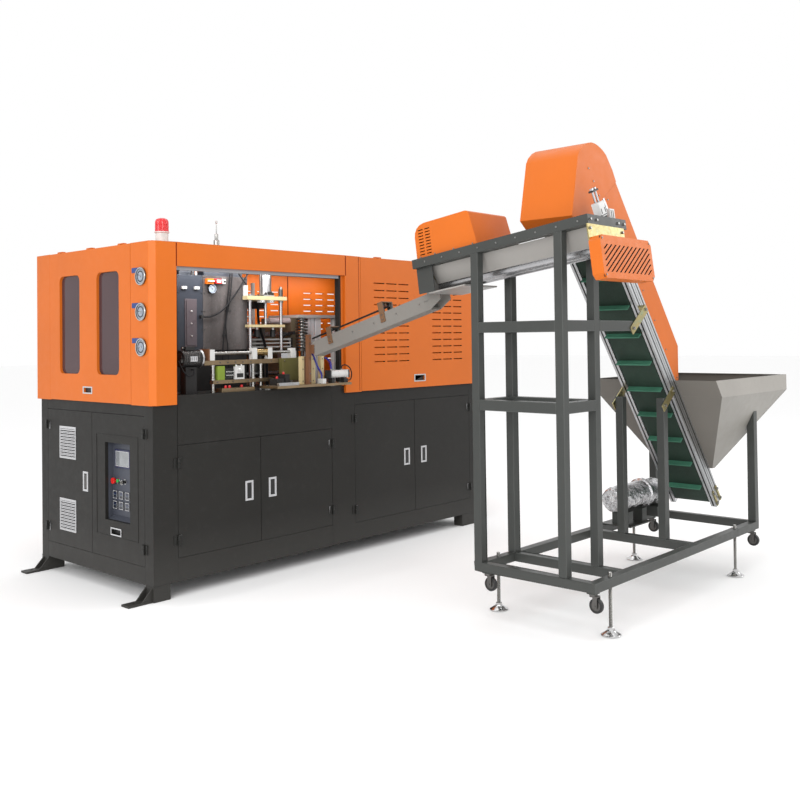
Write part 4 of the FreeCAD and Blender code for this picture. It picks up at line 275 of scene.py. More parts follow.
# lighter zinc for bevel faces: painted highlight along broken edges
M["zinc_edge_highlight"] = metal("zinc_edge_highlight", (0.46, 0.41, 0.26), 0.25, (1, 1, 1), 70, 0.1)
M["brass"] = metal("brass", (0.42, 0.31, 0.15), 0.25, (1, 1, 4), 80, 0.15)
M["alu"] = metal("clear_aluminium", (0.52, 0.53, 0.54), 0.34, (1, 14, 1), 60, 0.05, 0.03)
# lighter aluminium for bevel faces: painted highlight along broken edges
M["alu_edge_highlight"] = metal("aluminium_edge_highlight", (0.66, 0.66, 0.67), 0.2, (1, 1, 1), 60, 0.05)
M["cream"] = paint("cream_plate", srgb(188, 172, 132), 0.35, 500, 0.06, 0.08, dust=0.1)
# lighter cream for bevel faces: painted highlight along broken edges
M["cream_edge_highlight"] = paint("cream_edge_highlight", srgb(205, 192, 160), 0.35, 500, 0.06, 0.05)
M["white"] = plastic("white_plastic", (0.62, 0.62, 0.61), 0.4)
M["black"] = plastic("black_plastic", (0.018, 0.018, 0.018), 0.42)
M["blacker"] = plastic("black_glass", (0.006, 0.007, 0.008), 0.12, coat=0.6, depth=0.0)
M["red"] = plastic("red_button", (0.62, 0.015, 0.012), 0.3, coat=0.4)
M["green_btn"] = plastic("green_button", (0.02, 0.35, 0.07), 0.3, coat=0.4)
M["blue"] = plastic("blue_tube", (0.022, 0.022, 0.22), 0.4)
M["cable"] = plastic("cable_jacket", (0.012, 0.012, 0.013), 0.6, grain=1400, spec=0.15)
M["hose_red"] = plastic("red_tube", (0.5, 0.03, 0.02), 0.35)
M["hose_green"] = plastic("green_tube", (0.03, 0.28, 0.08), 0.35)
M["card"] = plastic("yellow_green_card", (0.42, 0.52, 0.10), 0.6, depth=0.02)


def belt_mat(name, col):
    m, nt, b = new_mat(name)
    tc = node(nt, "TexCoord").outputs["Object"]
    sl = noise(nt, tc, 5.0, 5, 0.6)
    sc = noise(nt, tc, 60.0, 4, 0.6, (1, 6, 1))
    c = ramp(nt, sl, [(0.3, shade(col, 0.78)), (0.7, shade(col, 1.18))])
    c = mix(nt, maprange(nt, sc, 0.55, 0.75, 0.0, 0.25), c, tuple(0.6 * v + 0.12 for v in col))
    lnk(nt, c, b.inputs["Base Color"])
    lnk(nt, maprange(nt, sc, 0.3, 0.7, 0.36, 0.6), b.inputs["Roughness"])
    v = node(nt, "TexVoronoi")
    v.inputs["Scale"].default_value = 420.0
    lnk(nt, tc, v.inputs["Vector"])
    bump(nt, b, v.outputs["Distance"], 0.25, 0.0006)
    b.inputs["Specular IOR Level"].default_value = 0.2
    return m


M["belt"] = belt_mat("belt_rubber", srgb(38, 54, 45))
M["cleat"] = belt_mat("cleat_rubber", srgb(66, 118, 96))


def lens_mat():
    m, nt, b = new_mat("beacon_lens_red")
    tc = node(nt, "TexCoord").outputs["Object"]
    w = node(nt, "TexWave", wave_type="BANDS", bands_direction="Z")
    w.inputs["Scale"].default_value = 60.0
    lnk(nt, tc, w.inputs["Vector"])
    lnk(nt, ramp(nt, w.outputs["Fac"], [(0.2, (0.50, 0.015, 0.02)), (0.8, (0.72, 0.05, 0.055))]), b.inputs["Base Color"])
    b.inputs["Roughness"].default_value = 0.12
    b.inputs["Subsurface Weight"].default_value = 0.25
    b.inputs["Subsurface Radius"].default_value = (0.02, 0.004, 0.002)
    b.inputs["Coat Weight"].default_value = 0.25
    b.inputs["Specular IOR Level"].default_value = 0.3
    bump(nt, b, w.outputs["Fac"], 0.35, 0.001)
    return m


M["lens"] = lens_mat()


def pane_mat():
    m, nt, b = new_mat("smoked_pane")
    tc = node(nt, "TexCoord").outputs["Object"]
    n1 = noise(nt, tc, 2.0, 3)
    lnk(nt, ramp(nt, n1, [(0.3, (0.052, 0.028, 0.032)), (0.7, (0.070, 0.039, 0.043))]), b.inputs["Base Color"])
    lnk(nt, maprange(nt, noise(nt, tc, 40.0, 4), 0.3, 0.8, 0.05, 0.16), b.inputs["Roughness"])
    b.inputs["Specular IOR Level"].default_value = 0.3
    b.inputs["Alpha"].default_value = 0.94
    return m


M["pane"] = pane_mat()


def foil_mat():
    m, nt, b = new_mat("foil_wrap")
    tc = node(nt, "TexCoord").outputs["Object"]
    v = node(nt, "TexVoronoi", feature="F1")
    v.inputs["Scale"].default_value = 34.0
    lnk(nt, tc, v.inputs["Vector"])
    n1 = noise(nt, tc, 26.0, 6, 0.7)
    c = ramp(nt, n1, [(0.3, (0.38, 0.38, 0.39)), (0.7, (0.70, 0.70, 0.71))])
    lnk(nt, c, b.inputs["Base Color"])
    b.inputs["Metallic"].default_value = 1.0
    lnk(nt, maprange(nt, n1, 0.3, 0.7, 0.10, 0.30), b.inputs["Roughness"])
    ad = node(nt, "Math", operation="ADD")
    lnk(nt, v.outputs["Distance"], ad.inputs[0])
    lnk(nt, n1, ad.inputs[1])
    bump(nt, b, ad.outputs[0], 0.9, 0.006)
    return m


M["foil"] = foil_mat()


def dial_mat():
    m, nt, b = new_mat("dial_face")
    tc = node(nt, "TexCoord").outputs["Object"]
    n1 = noise(nt, tc, 50.0, 3)
    lnk(nt, ramp(nt, n1, [(0.3, (0.20, 0.23, 0.28)), (0.7, (0.30, 0.34, 0.40))]), b.inputs["Base Color"])
    b.inputs["Roughness"].default_value = 0.35
    b.inputs["Coat Weight"].default_value = 0.4
    b.inputs["Coat Roughness"].default_value = 0.05
    return m


M["dial"] = dial_mat()


def screen_mat(name, col, strength):
    m, nt, b = new_mat(name)
    tc = node(nt, "TexCoord").outputs["Object"]
    n1 = noise(nt, tc, 12.0, 2)
    lnk(nt, ramp(nt, n1, [(0.3, shade(col, 0.8)), (0.7, shade(col, 1.2))]), b.inputs["Base Color"])
    b.inputs["Roughness"].default_value = 0.15
    b.inputs["Coat Weight"].default_value = 0.5
    b.inputs["Emission Color"].default_value = tuple(col) + (1,)
    b.inputs["Emission Strength"].default_value = strength
    return m


M["screen"] = screen_mat("screen_face", (0.22, 0.23, 0.24), 0.04)
M["led"] = screen_mat("digit_blue", (0.02, 0.03, 0.09), 0.02)
M["led_green"] = screen_mat("digit_pale", (0.10, 0.13, 0.18), 0.03)


# ------------------------------------------------------------ mesh helpers
def finish_mesh(ob, width=0.0, segs=2, angle=30.0, mats=None):
    me = ob.data
    for p in me.polygons:
        p.use_smooth = True
    if mats:
        picks = [p.material_index for p in me.polygons]
        me.materials.clear()
        for k in mats:
            me.materials.append(M[k])
        me.polygons.foreach_set("material_index", [min(i, len(mats) - 1) for i in picks])
    bm = bmesh.new()
    bm.from_mesh(me)
    for e in bm.edges:
        if len(e.link_faces) == 2:
            e.smooth = e.calc_face_angle(0.0) < math.radians(angle)
        else:
            e.smooth = False
    bm.to_mesh(me)
    bm.free()
    if width > 0:
        md = ob.modifiers.new("edge", "BEVEL")
        md.width = width
        md.segments = segs
        md.limit_method = "ANGLE"
        md.angle_limit = math.radians(angle)
        md.harden_normals = True
        md.use_clamp_overlap = True
        # bevel faces take slot 1, the lighter edge copy: painted highlight along broken edges
        if mats and len(mats) > 1:
            md.material = 1
    return ob


def from_bm(bm, name, body, mats, width=0.0, segs=2, angle=30.0):
    me = bpy.data.meshes.new(name)
    bm.to_mesh(me)
    bm.free()
    ob = bpy.data.objects.new(name, me)
    bpy.context.scene.collection.objects.link(ob)
    finish_mesh(ob, width, segs, angle, mats)
    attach(ob, body)
    return ob


BODY_OF = {n: b for b, ns in frame["record"]["behaviour"]["bodies"].items() for n in ns}


def W(v):
    """Back from metres to the layout's millimetres."""
    return (v.x * 1000.0 + OX, v.y * 1000.0 + OY, v.z * 1000.0)


def inside(p, b, tol=0.4):
    return (b[0] - tol <= p[0] <= b[1] + tol and b[2] - tol <= p[1] <= b[3] + tol and b[4] - tol <= p[2] <= b[5] + tol)


def dress(name, mats, width=0.0012, segs=2, angle=30.0, region=None, zones=None, drop=None, skip_bevel=False):
    """Finished copy of a CAD piece: edges broken, faces cleaned, own finish.

    zones: ((x0, x1, y0, y1, z0, z1), index) in millimetres, the first that holds
    the middle of a face gives its finish.  drop: boxes whose faces are left out
    because a modelled piece stands there."""
    src = frame["nodes"][name]
    me = src.data.copy()
    bm = bmesh.new()
    bm.from_mesh(me)
    bmesh.ops.remove_doubles(bm, verts=bm.verts, dist=2e-5)
    if drop:
        dead = [f for f in bm.faces if any(all(inside(W(v.co), d) for v in f.verts) for d in drop)]
        bmesh.ops.delete(bm, geom=dead, context="FACES")
    if zones or region:
        for f in bm.faces:
            c = W(f.calc_center_median())
            k = 0
            if zones:
                for z, i in zones:
                    if inside(c, z):
                        k = i
                        break
            if region:
                r = region(c, f.normal)
                if r is not None:
                    k = r
            f.material_index = k
    bmesh.ops.dissolve_limit(bm, angle_limit=math.radians(0.4), verts=bm.verts, edges=bm.edges, delimit={"MATERIAL"})
    bm.to_mesh(me)
    bm.free()
    if "custom_normal" in me.attributes:
        me.attributes.remove(me.attributes["custom_normal"])
    ob = bpy.data.objects.new(name + "_finished", me)
    bpy.context.scene.collection.objects.link(ob)
    picked = bool(zones or region)
    finish_mesh(ob, width, segs, angle, mats)
    if picked and width > 0:
        ob.modifiers["edge"].material = -1
    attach(ob, BODY_OF[name])
    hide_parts(name)
    return ob


# --------------------------------------------------------- modelled details
def T(x, y, z):
    return Matrix.Translation(R(x, y, z))


def bm_box(bm, x0, x1, y0, y1, z0, z1, mat=0, m4=None):
    """Box in layout millimetres, or in a piece's own millimetres with m4."""
    pts = [(x, y, z) for x in (x0, x1) for y in (y0, y1) for z in (z0, z1)]
    vs = []
    for p in pts:
        v = R(*p) if m4 is None else m4 @ (Vector(p) / 1000.0)
        vs.append(bm.verts.new(v))
    for q in ((0, 1, 3, 2), (4, 6, 7, 5), (0, 4, 5, 1), (2, 3, 7, 6), (0, 2, 6, 4), (1, 5, 7, 3)):
        f = bm.faces.new([vs[i] for i in q])
        f.material_index = mat
    return vs


def bm_turn(bm, prof, m4, segs=32, mats=None, flute=None, caps=True):
    """Turned piece: profile of (radius, height) in millimetres about m4's Z."""
    rows = []
    for k, (r, h) in enumerate(prof):
        row = []
        for i in range(segs):
            a = 2 * math.pi * i / segs
            rr = r
            if flute and flute[0] <= k <= flute[1]:
                rr = r * (1 - flute[3] * abs(math.sin(flute[2] * a / 2.0)))
            row.append(bm.verts.new(m4 @ (Vector((rr * math.cos(a), rr * math.sin(a), h)) / 1000.0)))
        rows.append(row)
    for k in range(len(rows) - 1):
        for i in range(segs):
            j = (i + 1) % segs
            f = bm.faces.new((rows[k][i], rows[k][j], rows[k + 1][j], rows[k + 1][i]))
            if mats:
                f.material_index = mats[k] if isinstance(mats, (list, tuple)) else mats
    if caps:
        f = bm.faces.new(list(reversed(rows[0])))
        g = bm.faces.new(rows[-1])
        if mats:
            f.material_index = mats[0] if isinstance(mats, (list, tuple)) else mats
            g.material_index = mats[-1] if isinstance(mats, (list, tuple)) else mats


def aim(origin, direction):
    """Matrix at origin (metres) with its Z along direction."""
    d = Vector(direction).normalized()
    return Matrix.Translation(origin) @ d.to_track_quat("Z", "Y").to_matrix().to_4x4()


def bm_hex(bm, m4, across, height, mat=0, washer=True):
    """Hexagon head with a chamfered crown, on a washer."""
    if washer:
        bm_turn(bm, [(across * 0.62, 0), (across * 0.62, height * 0.14), (across * 0.58, height * 0.2)], m4, 20, mat)
    r = across / 2.0 / math.cos(math.pi / 6)
    z0 = height * 0.2 if washer else 0.0
    bm_turn(bm, [(r, z0), (r, height * 0.86), (r * 0.86, height)], m4, 6, mat)


def bm_socket(bm, m4, r, height, mat=0):
    """Round socket-head screw with its recess."""
    bm_turn(bm, [(r, 0), (r, height * 0.85), (r * 0.9, height), (r * 0.5, height), (r * 0.48, height * 0.45)], m4, 18, mat)


def bm_tube(bm, pts, r, segs=10, mat=0, closed_ends=True, wobble=None):
    """Tube through metre points, smoothed."""
    P = [Vector(p) for p in pts]
    rows = []
    n = len(P)
    ref = None
    for i in range(n):
        t = (P[min(i + 1, n - 1)] - P[max(i - 1, 0)]).normalized()
        if ref is None:
            ref = t.orthogonal().normalized()
        ref = (ref - t * ref.dot(t)).normalized()
        b = t.cross(ref)
        row = []
        for k in range(segs):
            a = 2 * math.pi * k / segs
            row.append(bm.verts.new(P[i] + (ref * math.cos(a) + b * math.sin(a)) * r))
        rows.append(row)
    for i in range(n - 1):
        for k in range(segs):
            j = (k + 1) % segs
            f = bm.faces.new((rows[i][k], rows[i][j], rows[i + 1][j], rows[i + 1][k]))
            f.material_index = mat
    if closed_ends:
        f = bm.faces.new(list(reversed(rows[0])))
        g = bm.faces.new(rows[-1])
        f.material_index = mat
        g.material_index = mat


def spline(pts, per=8):
    """Points of a smooth curve through the given ones."""
    P = [Vector(p) for p in pts]
    out = []
    for i in range(len(P) - 1):
        p0, p1, p2, p3 = P[max(i - 1, 0)], P[i], P[i + 1], P[min(i + 2, len(P) - 1)]
        for k in range(per):
            t = k / per
            out.append(0.5 * ((2 * p1) + (p2 - p0) * t + (2 * p0 - 5 * p1 + 4 * p2 - p3) * t * t + (3 * p1 - p0 - 3 * p2 + p3) * t * t * t))
    out.append(P[-1])
    return out


# extra finishes
M["tan"] = metal("bronze_plate", (0.30, 0.225, 0.14), 0.42, (1, 1, 6), 70, 0.2, 0.1)
M["brownplate"] = paint("brown_plate", srgb(108, 95, 76), 0.4, 500, 0.1, 0.12)
M["barwhite"] = paint("profile_bar_white", srgb(236, 236, 238), 0.35, 500, 0.05, 0.05)
M["rust"] = paint("red_brown_post", srgb(108, 74, 52), 0.4, 500, 0.1, 0.14)
M["saddle"] = paint("saddle_brown", srgb(112, 84, 62), 0.4, 500, 0.1, 0.14)
M["seam"] = paint("seam_shadow", srgb(104, 26, 10), 0.7, 500, 0.05, 0.1, spec=0.1)
M["inset"] = paint("oven_inset", srgb(82, 74, 78), 0.25, 500, 0.05, 0.12, coat=0.2)
M["ovenblue"] = paint("oven_sheet_dark", srgb(44, 48, 56), 0.34, 500, 0.06, 0.1, coat=0.2)
M["lintel"] = paint("lintel_grey", srgb(142, 145, 150), 0.35, 500, 0.06, 0.06)
M["offwhite"] = paint("light_plate", srgb(196, 196, 194), 0.35, 500, 0.06, 0.06, dust=0.05)
M["pinkwhite"] = paint("cylinder_coat", srgb(196, 178, 178), 0.3, 500, 0.06, 0.08)
M["valve_green"] = paint("valve_green", srgb(116, 136, 50), 0.4, 500, 0.06, 0.12)
M["darkgrey"] = paint("dark_body", srgb(36, 35, 35), 0.4, 500, 0.1, 0.1)
M["olive"] = paint("olive_cover", srgb(84, 80, 44), 0.35, 500, 0.06, 0.12, coat=0.2)
M["inst"] = paint("instrument_sheet", srgb(70, 73, 82), 0.35, 600, 0.1, 0.05)
M["navy"] = paint("navy_bezel", srgb(40, 42, 72), 0.3, 500, 0.05, 0.05, coat=0.2)
M["tagblue"] = plastic("blue_tag", (0.022, 0.05, 0.19), 0.4)
M["silver"] = paint("silver_trim", srgb(178, 178, 180), 0.28, 500, 0.05, 0.05, coat=0.2)
M["red_paint"] = paint("red_fitting", srgb(190, 40, 44), 0.35, 400, 0.06, 0.1)
M["bolt"] = metal("zinc_bolt", (0.30, 0.30, 0.29), 0.3, (1, 1, 1), 120, 0.15, 0.06)
M["boltblack"] = metal("black_bolt", (0.06, 0.06, 0.06), 0.4, (1, 1, 1), 120, 0.15, 0.06)
M["hinge"] = paint("black_hinge", srgb(32, 32, 30), 0.35, 600, 0.12, 0.08)
M["beacon_base"] = plastic("beacon_base", (0.62, 0.62, 0.60), 0.4)

# ------------------------------------------------------- finish of each node
lintel = (38, 1490, 0, 20, 1954, 1998)


def frame_zone(c, n):
    if c[2] > 2117:
        return 2
    if inside(c, lintel) and c[1] < 20.2 and 40 < c[0] < 1488 and 1954.5 < c[2] < 1998:
        return 3
    if (c[1] < -0.3 or c[0] < -0.3) and c[2] < 1150:
        return 4
    return 0


dress("machine_frame", ["cab", "cab_edge_highlight", "orange", "lintel", "hinge"], 0.0015, region=frame_zone)
dress("anchor_feet", ["cab", "cab_edge_highlight"], 0.001)
# inner panels take the darker cabinet paint: painted shade
dress("cabinet_panels", ["cab_in", "cab_edge_highlight", "zinc", "darkgrey"], 0.0,
      zones=[((1698, 2852, 1199, 1206, 258, 1002), 2), ((1750, 2800, 1050, 1199, 390, 950), 3)])


def hood_zone(c, n):
    """Inner face of the rear sheets, seen through the front opening, takes a lighter orange: painted light."""
    return 2 if n.y < -0.9 and 1371.5 < c[1] < 1375 and 1160 < c[2] < 2117 else 0


dress("hood_panels", ["orange", "orange_edge_highlight", "orange_lit"], 0.002, region=hood_zone)
dress("preheat_oven", ["oven", "ovenblue", "offwhite", "red_paint", "chrome", "dial", "black", "steel_dark", "orange", "inset", "darkgrey"], 0.0015,
      zones=[((404, 441, 295, 312, 1861, 1881), 2), ((499, 536, 295, 312, 1861, 1881), 2),
             ((584, 641, 284, 311.6, 1899, 1937), 8), ((654, 701, 284, 311.6, 1904, 1937), 3), ((711, 736, 289, 311.6, 1904, 1937), 2),
             ((602, 664, 291, 297.5, 1838, 1900), 5), ((602, 664, 291, 312, 1838, 1900), 6),
             ((538, 561, 287, 311.6, 1672, 1696), 6), ((717, 791, 306, 311.6, 1555, 1733), 6),
             ((429, 521, 307, 311.6, 1489, 1801), 9), ((374, 569.5, 311, 641, 1465, 1957), 1), ((374, 931, 325, 330.5, 1199, 1466), 10),
             ((419, 541, 359, 601, 1956, 2061), 1), ((589, 901, 329, 421, 1956, 1985), 1),
             ((759, 1001, 261, 323, 2065, 2113), 7)])
dress("clamp_frame", ["steel", "steel_edge_highlight", "cream", "white", "rod", "brownplate", "offwhite", "alu", "pinkwhite", "darkgrey", "black", "steel_dark", "barwhite"], 0.0008,
      zones=[((882, 1226, 249, 861, 1802, 1830), 2), ((995, 1033, 251, 291, 1785, 1803), 3), ((1079, 1112, 251, 291, 1785, 1803), 3),
             ((883.5, 888.5, 251, 301, 1829, 1901), 3), ((1500, 1914, 449, 801, 1689.5, 1713), 6),
             ((1869, 1911, 469, 781, 1199, 1690), 6), ((1587, 1738, 469, 509, 1199, 1690), 12),
             ((1372, 1397, 829, 853, 1199, 1963), 6), ((1063, 1149, 297, 383, 1829, 1996), 7),
             ((1221, 1431, 453, 495, 1647, 1689), 8), ((1429.5, 1500, 449, 801, 1199, 1691), 5),
             ((939, 1194, 445.5, 521, 1750, 1803), 9), ((1061, 1413, 435, 449, 1470, 1540), 6), ((1411, 1431, 435, 471, 1469, 1543), 9),
             ((1409, 1431, 405, 471, 1565, 1591), 10), ((1391, 1431, 400, 471, 1437, 1459), 10),
             ((1093, 1123, 410, 440, 1790, 1804), 10), ((896, 914, 275, 293, 1829, 1850), 10),
             ((920, 946, 276, 304, 1199, 1803), 4), ((1190, 1216, 276, 304, 1199, 1803), 4),
             ((915, 950, 272, 308, 1829, 1844), 4), ((1187, 1219, 273, 307, 1829, 1903), 11),
             ((1437, 1531, 348, 442, 1199, 1690), 11), ((985, 1430, 460, 790, 1270, 1590), 4), ((949, 986, 449, 801, 1199, 1601), 5)],
      drop=[(1437, 1531, 348, 442, 1457.9, 1672.1)])
dress("transfer_unit", ["steel", "tan", "offwhite", "rod", "darkgrey", "valve_green", "black", "cream", "rust", "olive", "alu"], 0.0008,
      zones=[((279, 361, 79, 141, 1199, 1365), 4), ((403, 1144, 61, 113, 1373.5, 1402.2), 1), ((468, 944, 61, 103, 1253.5, 1277.2), 1), ((517, 776, 39, 111, 1199, 1225.5), 1),
             ((448, 486, 65, 109, 1402, 1472), 2), ((1107, 1144, 65, 109, 1402, 1472), 2),
             ((626, 696, 43, 65.8, 1278, 1361), 2), ((504, 560.3, 65, 101, 1277, 1367), 5), ((654.7, 714, 65, 101, 1277, 1367), 5),
             ((559, 656, 71, 101, 1277, 1351), 6),
             ((284, 351, 84, 136, 1468.9, 1493), 6), ((256, 391, 57, 163, 1364, 1470), 4), ((389, 403, 53, 167, 1360, 1474), 10), ((437, 449, 65, 163, 1402, 1477), 8),
             ((809, 1463, -151, 37, 1212.8, 1229.2), 1), ((1093, 1119, -126, -94, 1229, 1562), 8), ((1117, 1125, -151, -99, 1431, 1493), 8),
             ((1069, 1095, -81, -49, 1229, 1416), 7), ((1098, 1115, -81, -49, 1229, 1416), 8), ((1154, 1193, -81, -49, 1229, 1416), 7), ((1241, 1271, -81, -49, 1229, 1416), 7),
             ((993, 1173, 21, 61, 1255, 1406), 9), ((1119, 1256, 189, 231, 1397, 1453), 10),
             ((1278, 1434, -146, -94, 1264, 1316), 2), ((1289, 1311, -141, -99, 1229, 1266), 6), ((1401, 1423, -141, -99, 1229, 1266), 6),
             ((1265, 1280, -148, -92, 1262, 1318), 6), ((1432, 1447, -148, -92, 1262, 1318), 6),
             ((1099, 1113, -96, -82, 1443, 1461), 6), ((1269, 1283, -77, -55, 1391, 1409), 6), ((1427, 1447, -131, -109, 1229, 1257), 6),
             ((879, 986, -61, 21, 1229, 1301), 4), ((1204, 1236, -141, -83, 1229, 1263), 2), ((829, 1001, -141, -119, 1229, 1250), 10)])
dress("air_hoses", ["cable", "blue"], 0.0, zones=[((1104, 1332, -128, -60, 1262, 1460), 1)])


def chute_zone(c, n):
    """Hold-down rod black, saddles brown, slide rails bright."""
    dy, dz = c[1] + 122, c[2] - 1509
    l, w = -dy * math.cos(A_CH) + dz * math.sin(A_CH), dy * math.sin(A_CH) + dz * math.cos(A_CH)
    if 1160 < c[0] < 1172 and 27.5 < w < 46.5:
        return 3
    for a, b3, t in ((164.5, 205.5, 53), (664.5, 705.5, 69)):
        if a < l < b3 and (w > 1 or c[0] < 1123.8 or c[0] > 1208.2) and -61 < w < t:
            return 2
    if -18.5 < w < -5.5 and 1128.5 < c[0] < 1203.5:
        return 4
    return 0


M["chute"] = paint("chute_paint", srgb(126, 123, 118), 0.4, 900, 0.1, 0.08)
dress("preform_chute", ["chute", "light_edge_highlight", "saddle", "black", "steel"], 0.0005, region=chute_zone)
dress("loader_frame", ["loader", "loader_edge_highlight"], 0.003)
dress("sorter_table", ["loader", "loader_edge_highlight"], 0.002)
dress("sorter_trough", ["light", "zinc"], 0.0004, region=lambda c, n: 1 if (c[1] < -2330 or c[1] > -1262) else 0)


def cover_zone(c, n):
    """Inner faces and slot walls of the drive guard and the motor cover are in shadow black."""
    dy, dz = c[1] + 2365, c[2] - 2136
    ca, sa = math.cos(A_SO), math.sin(A_SO)
    l, w = dy * ca - dz * sa, dy * sa + dz * ca
    nl, nw = n.y * ca - n.z * sa, n.y * sa + n.z * ca
    if -76 < l < -7 and 940 < c[0] < 1452 and -342 < w < -120:
        if nl > 0.5 and l < -60:
            return 1
        if abs(nl) < 0.5 and ((c[0] - 1196) * n.x + (w + 231) * nw) < 0 and (l > -71 or 950 < c[0] < 1442):
            return 1
        if abs(nl) < 0.5 and -75.2 < l < -71.8 and 952 < c[0] < 1440 and -328 < w < -140:
            return 1
    if 725 < l < 1185 and 1000 < c[0] < 1356 and w > -1:
        if ((c[0] - 1179) * n.x + (l - 955) * nl + (w - 90) * nw) < 0:
            return 1
        if 1003 < c[0] < 1007.1 and abs(n.x) < 0.5 and 1058 < l < 1156 and w < 172:
            return 1
    return 0


dress("loader_covers", ["orange", "black"], 0.0007, region=cover_zone)
dress("elevator_rails", ["alu", "alu_edge_highlight"], 0.001)


def el_h_of(c):
    return (c[0] - 2166) * math.sin(A_EL) + (c[2] - 1230) * math.cos(A_EL)


def cleat_zone(c, n):
    h = el_h_of(c)
    return 1 if (h > 42.5 + 41.6 or h < 42.5 - 41.6) else 0


dress("elevator_belt", ["belt", "cleat"], 0.0, region=cleat_zone)
dress("strap_brackets", ["zinc", "zinc_edge_highlight"], 0.0008)


def hopper_zone(c, n):
    """Inner faces of the funnel look up and towards its middle and take a darker grey: painted shade; faces turned to
    -X take a darker grey too: painted shade.
    """
    # funnel faces looking up take the darker inside grey: painted shade
    if 0.15 < n.z < 0.97:
        return 2
    # faces turned to -X take a darker grey: painted shade
    if n.x < -0.2 and n.z < 0.05:
        return 4
    if abs(n.z) < 0.2 and c[2] > 1146:
        if abs(n.y) > 0.8:
            return 3 if (c[1] < -2438 or c[1] > -1588) else 2
        if abs(n.x) > 0.8:
            return 3 if c[0] > 3365.5 else 2
    return 0


# darker grey for hopper faces turned to -X: painted shade
M["hopper_side_shade"] = paint("hopper_side_painted_shade", srgb(112, 108, 102), 0.36, 900, 0.08, 0.06)
dress("hopper", ["hopper", "hopper_edge_highlight", "hopper_in", "hopper_band", "hopper_side_shade"], 0.0005, region=hopper_zone)
dress("blower_motor", ["loader", "loader_edge_highlight"], 0.001,
      drop=[(2194, 2766, -1856, -1654, 379, 581)])


def kicker_zone(c, n):
    """Foot and wedge dark brown, cylinder body and upright light."""
    dy, dz = c[1] + 2365, c[2] - 2136
    w = dy * math.sin(A_SO) + dz * math.cos(A_SO)
    if w < 12.6 or (c[0] < 1290 and w < 34.5 and 1211 < c[0] < 1269 and n.z < 0.9):
        return 1
    return 0


dress("kicker_cylinder", ["white", "darkgrey"], 0.001, region=kicker_zone)


def rim_zone(x=None, y=None):
    def f(c, n):
        if x is not None and c[0] < x:
            return 2
        if y is not None and c[1] < y:
            return 2
        return 0
    return f


def panel_zone(c, n):
    """Bright rim and black cup of a lift handle, orange hinge halves."""
    if c[2] > 2100:
        return 0
    if c[0] < -20.3:
        return 2
    if -8.6 < c[0] < -7.4 and 665 < c[1] < 765 and 1207 < c[2] < 1241:
        return 3
    return 0


dress("end_window_panel", ["orange", "orange_edge_highlight", "silver", "black"], 0.0012, region=panel_zone)
dress("window_panes", ["pane"], 0.0)


def louvre_zone(c, n):
    if c[2] > 2100:
        return 0
    if c[1] < -24.3:
        return 2
    if -12.8 < c[1] < -11.2 and 2247 < c[0] < 2361 and 1203 < c[2] < 1245:
        return 3
    # slot walls of the louvres take black: painted shade in the slots
    if abs(n.y) < 0.5 and c[1] < -1 and 1700 < c[0] < 2900 and 1280 < c[2] < 2060:
        return 3
    return 0


dress("louvre_panel", ["orange", "orange_edge_highlight", "silver", "black"], 0.0007, region=louvre_zone)


def end_left_zone(c, n):
    if c[0] < -3.2:
        return 3
    if c[0] < -0.1:
        return 2
    if 18.5 < c[0] < 22.5 and 763 < c[1] < 804 and 585 < c[2] < 692:
        return 4
    return 0


dress("end_door_left", ["cab", "cab_edge_highlight", "silver", "hinge", "black"], 0.0008, region=end_left_zone)
dress("end_door_latch", ["steel_dark"], 0.0006)


def end_right_zone(c, n):
    if c[0] < -3.2:
        return 3
    if c[0] < -2.1 and 336 < c[2] < 388:
        return 2
    if c[0] < -0.05 and c[2] > 325:
        return 0
    if 18.5 < c[0] < 22.5 and 359 < c[1] < 469 and 345 < c[2] < 379:
        return 4
    if c[0] > 22.2:
        return 5
    return 0


dress("end_door_right", ["cab", "cab_edge_highlight", "silver", "hinge", "black", "inst"], 0.0008, region=end_right_zone)


def panel_parts(c, n):
    if 47.5 < c[0] < 56.1 and 744 < c[2] < 861:
        if abs(c[0] - 49) < 0.4 and 349 < c[1] < 497:
            return 2
        return 1 if c[0] < 51.5 or abs(n.x) < 0.5 else 0
    if 48.5 < c[0] < 56.1 and 487 < c[2] < 601:
        return 3 if c[0] < 51.5 or abs(n.x) < 0.5 else 0
    if 51.5 < c[0] < 55.9 and c[2] > 600:
        return 4
    if c[0] > 70:
        return 3
    return 0


dress("control_panel", ["inst", "navy", "screen", "blacker", "chrome"], 0.0005, region=panel_parts)
dress("stop_button", ["red"], 0.0016, 3)
dress("start_button", ["green_btn"], 0.0006)
dress("key_switch", ["steel"], 0.0004)
dress("selector_switch", ["black"], 0.0005)


def door_zone(c, n):
    if c[1] < -3.2:
        return 3
    if c[1] < -0.1:
        return 2
    if 18.5 < c[1] < 22.5 and c[2] > 400 and c[2] < 720 and (670 < c[0] < 905 or 2150 < c[0] < 2390):
        return 4
    return 0


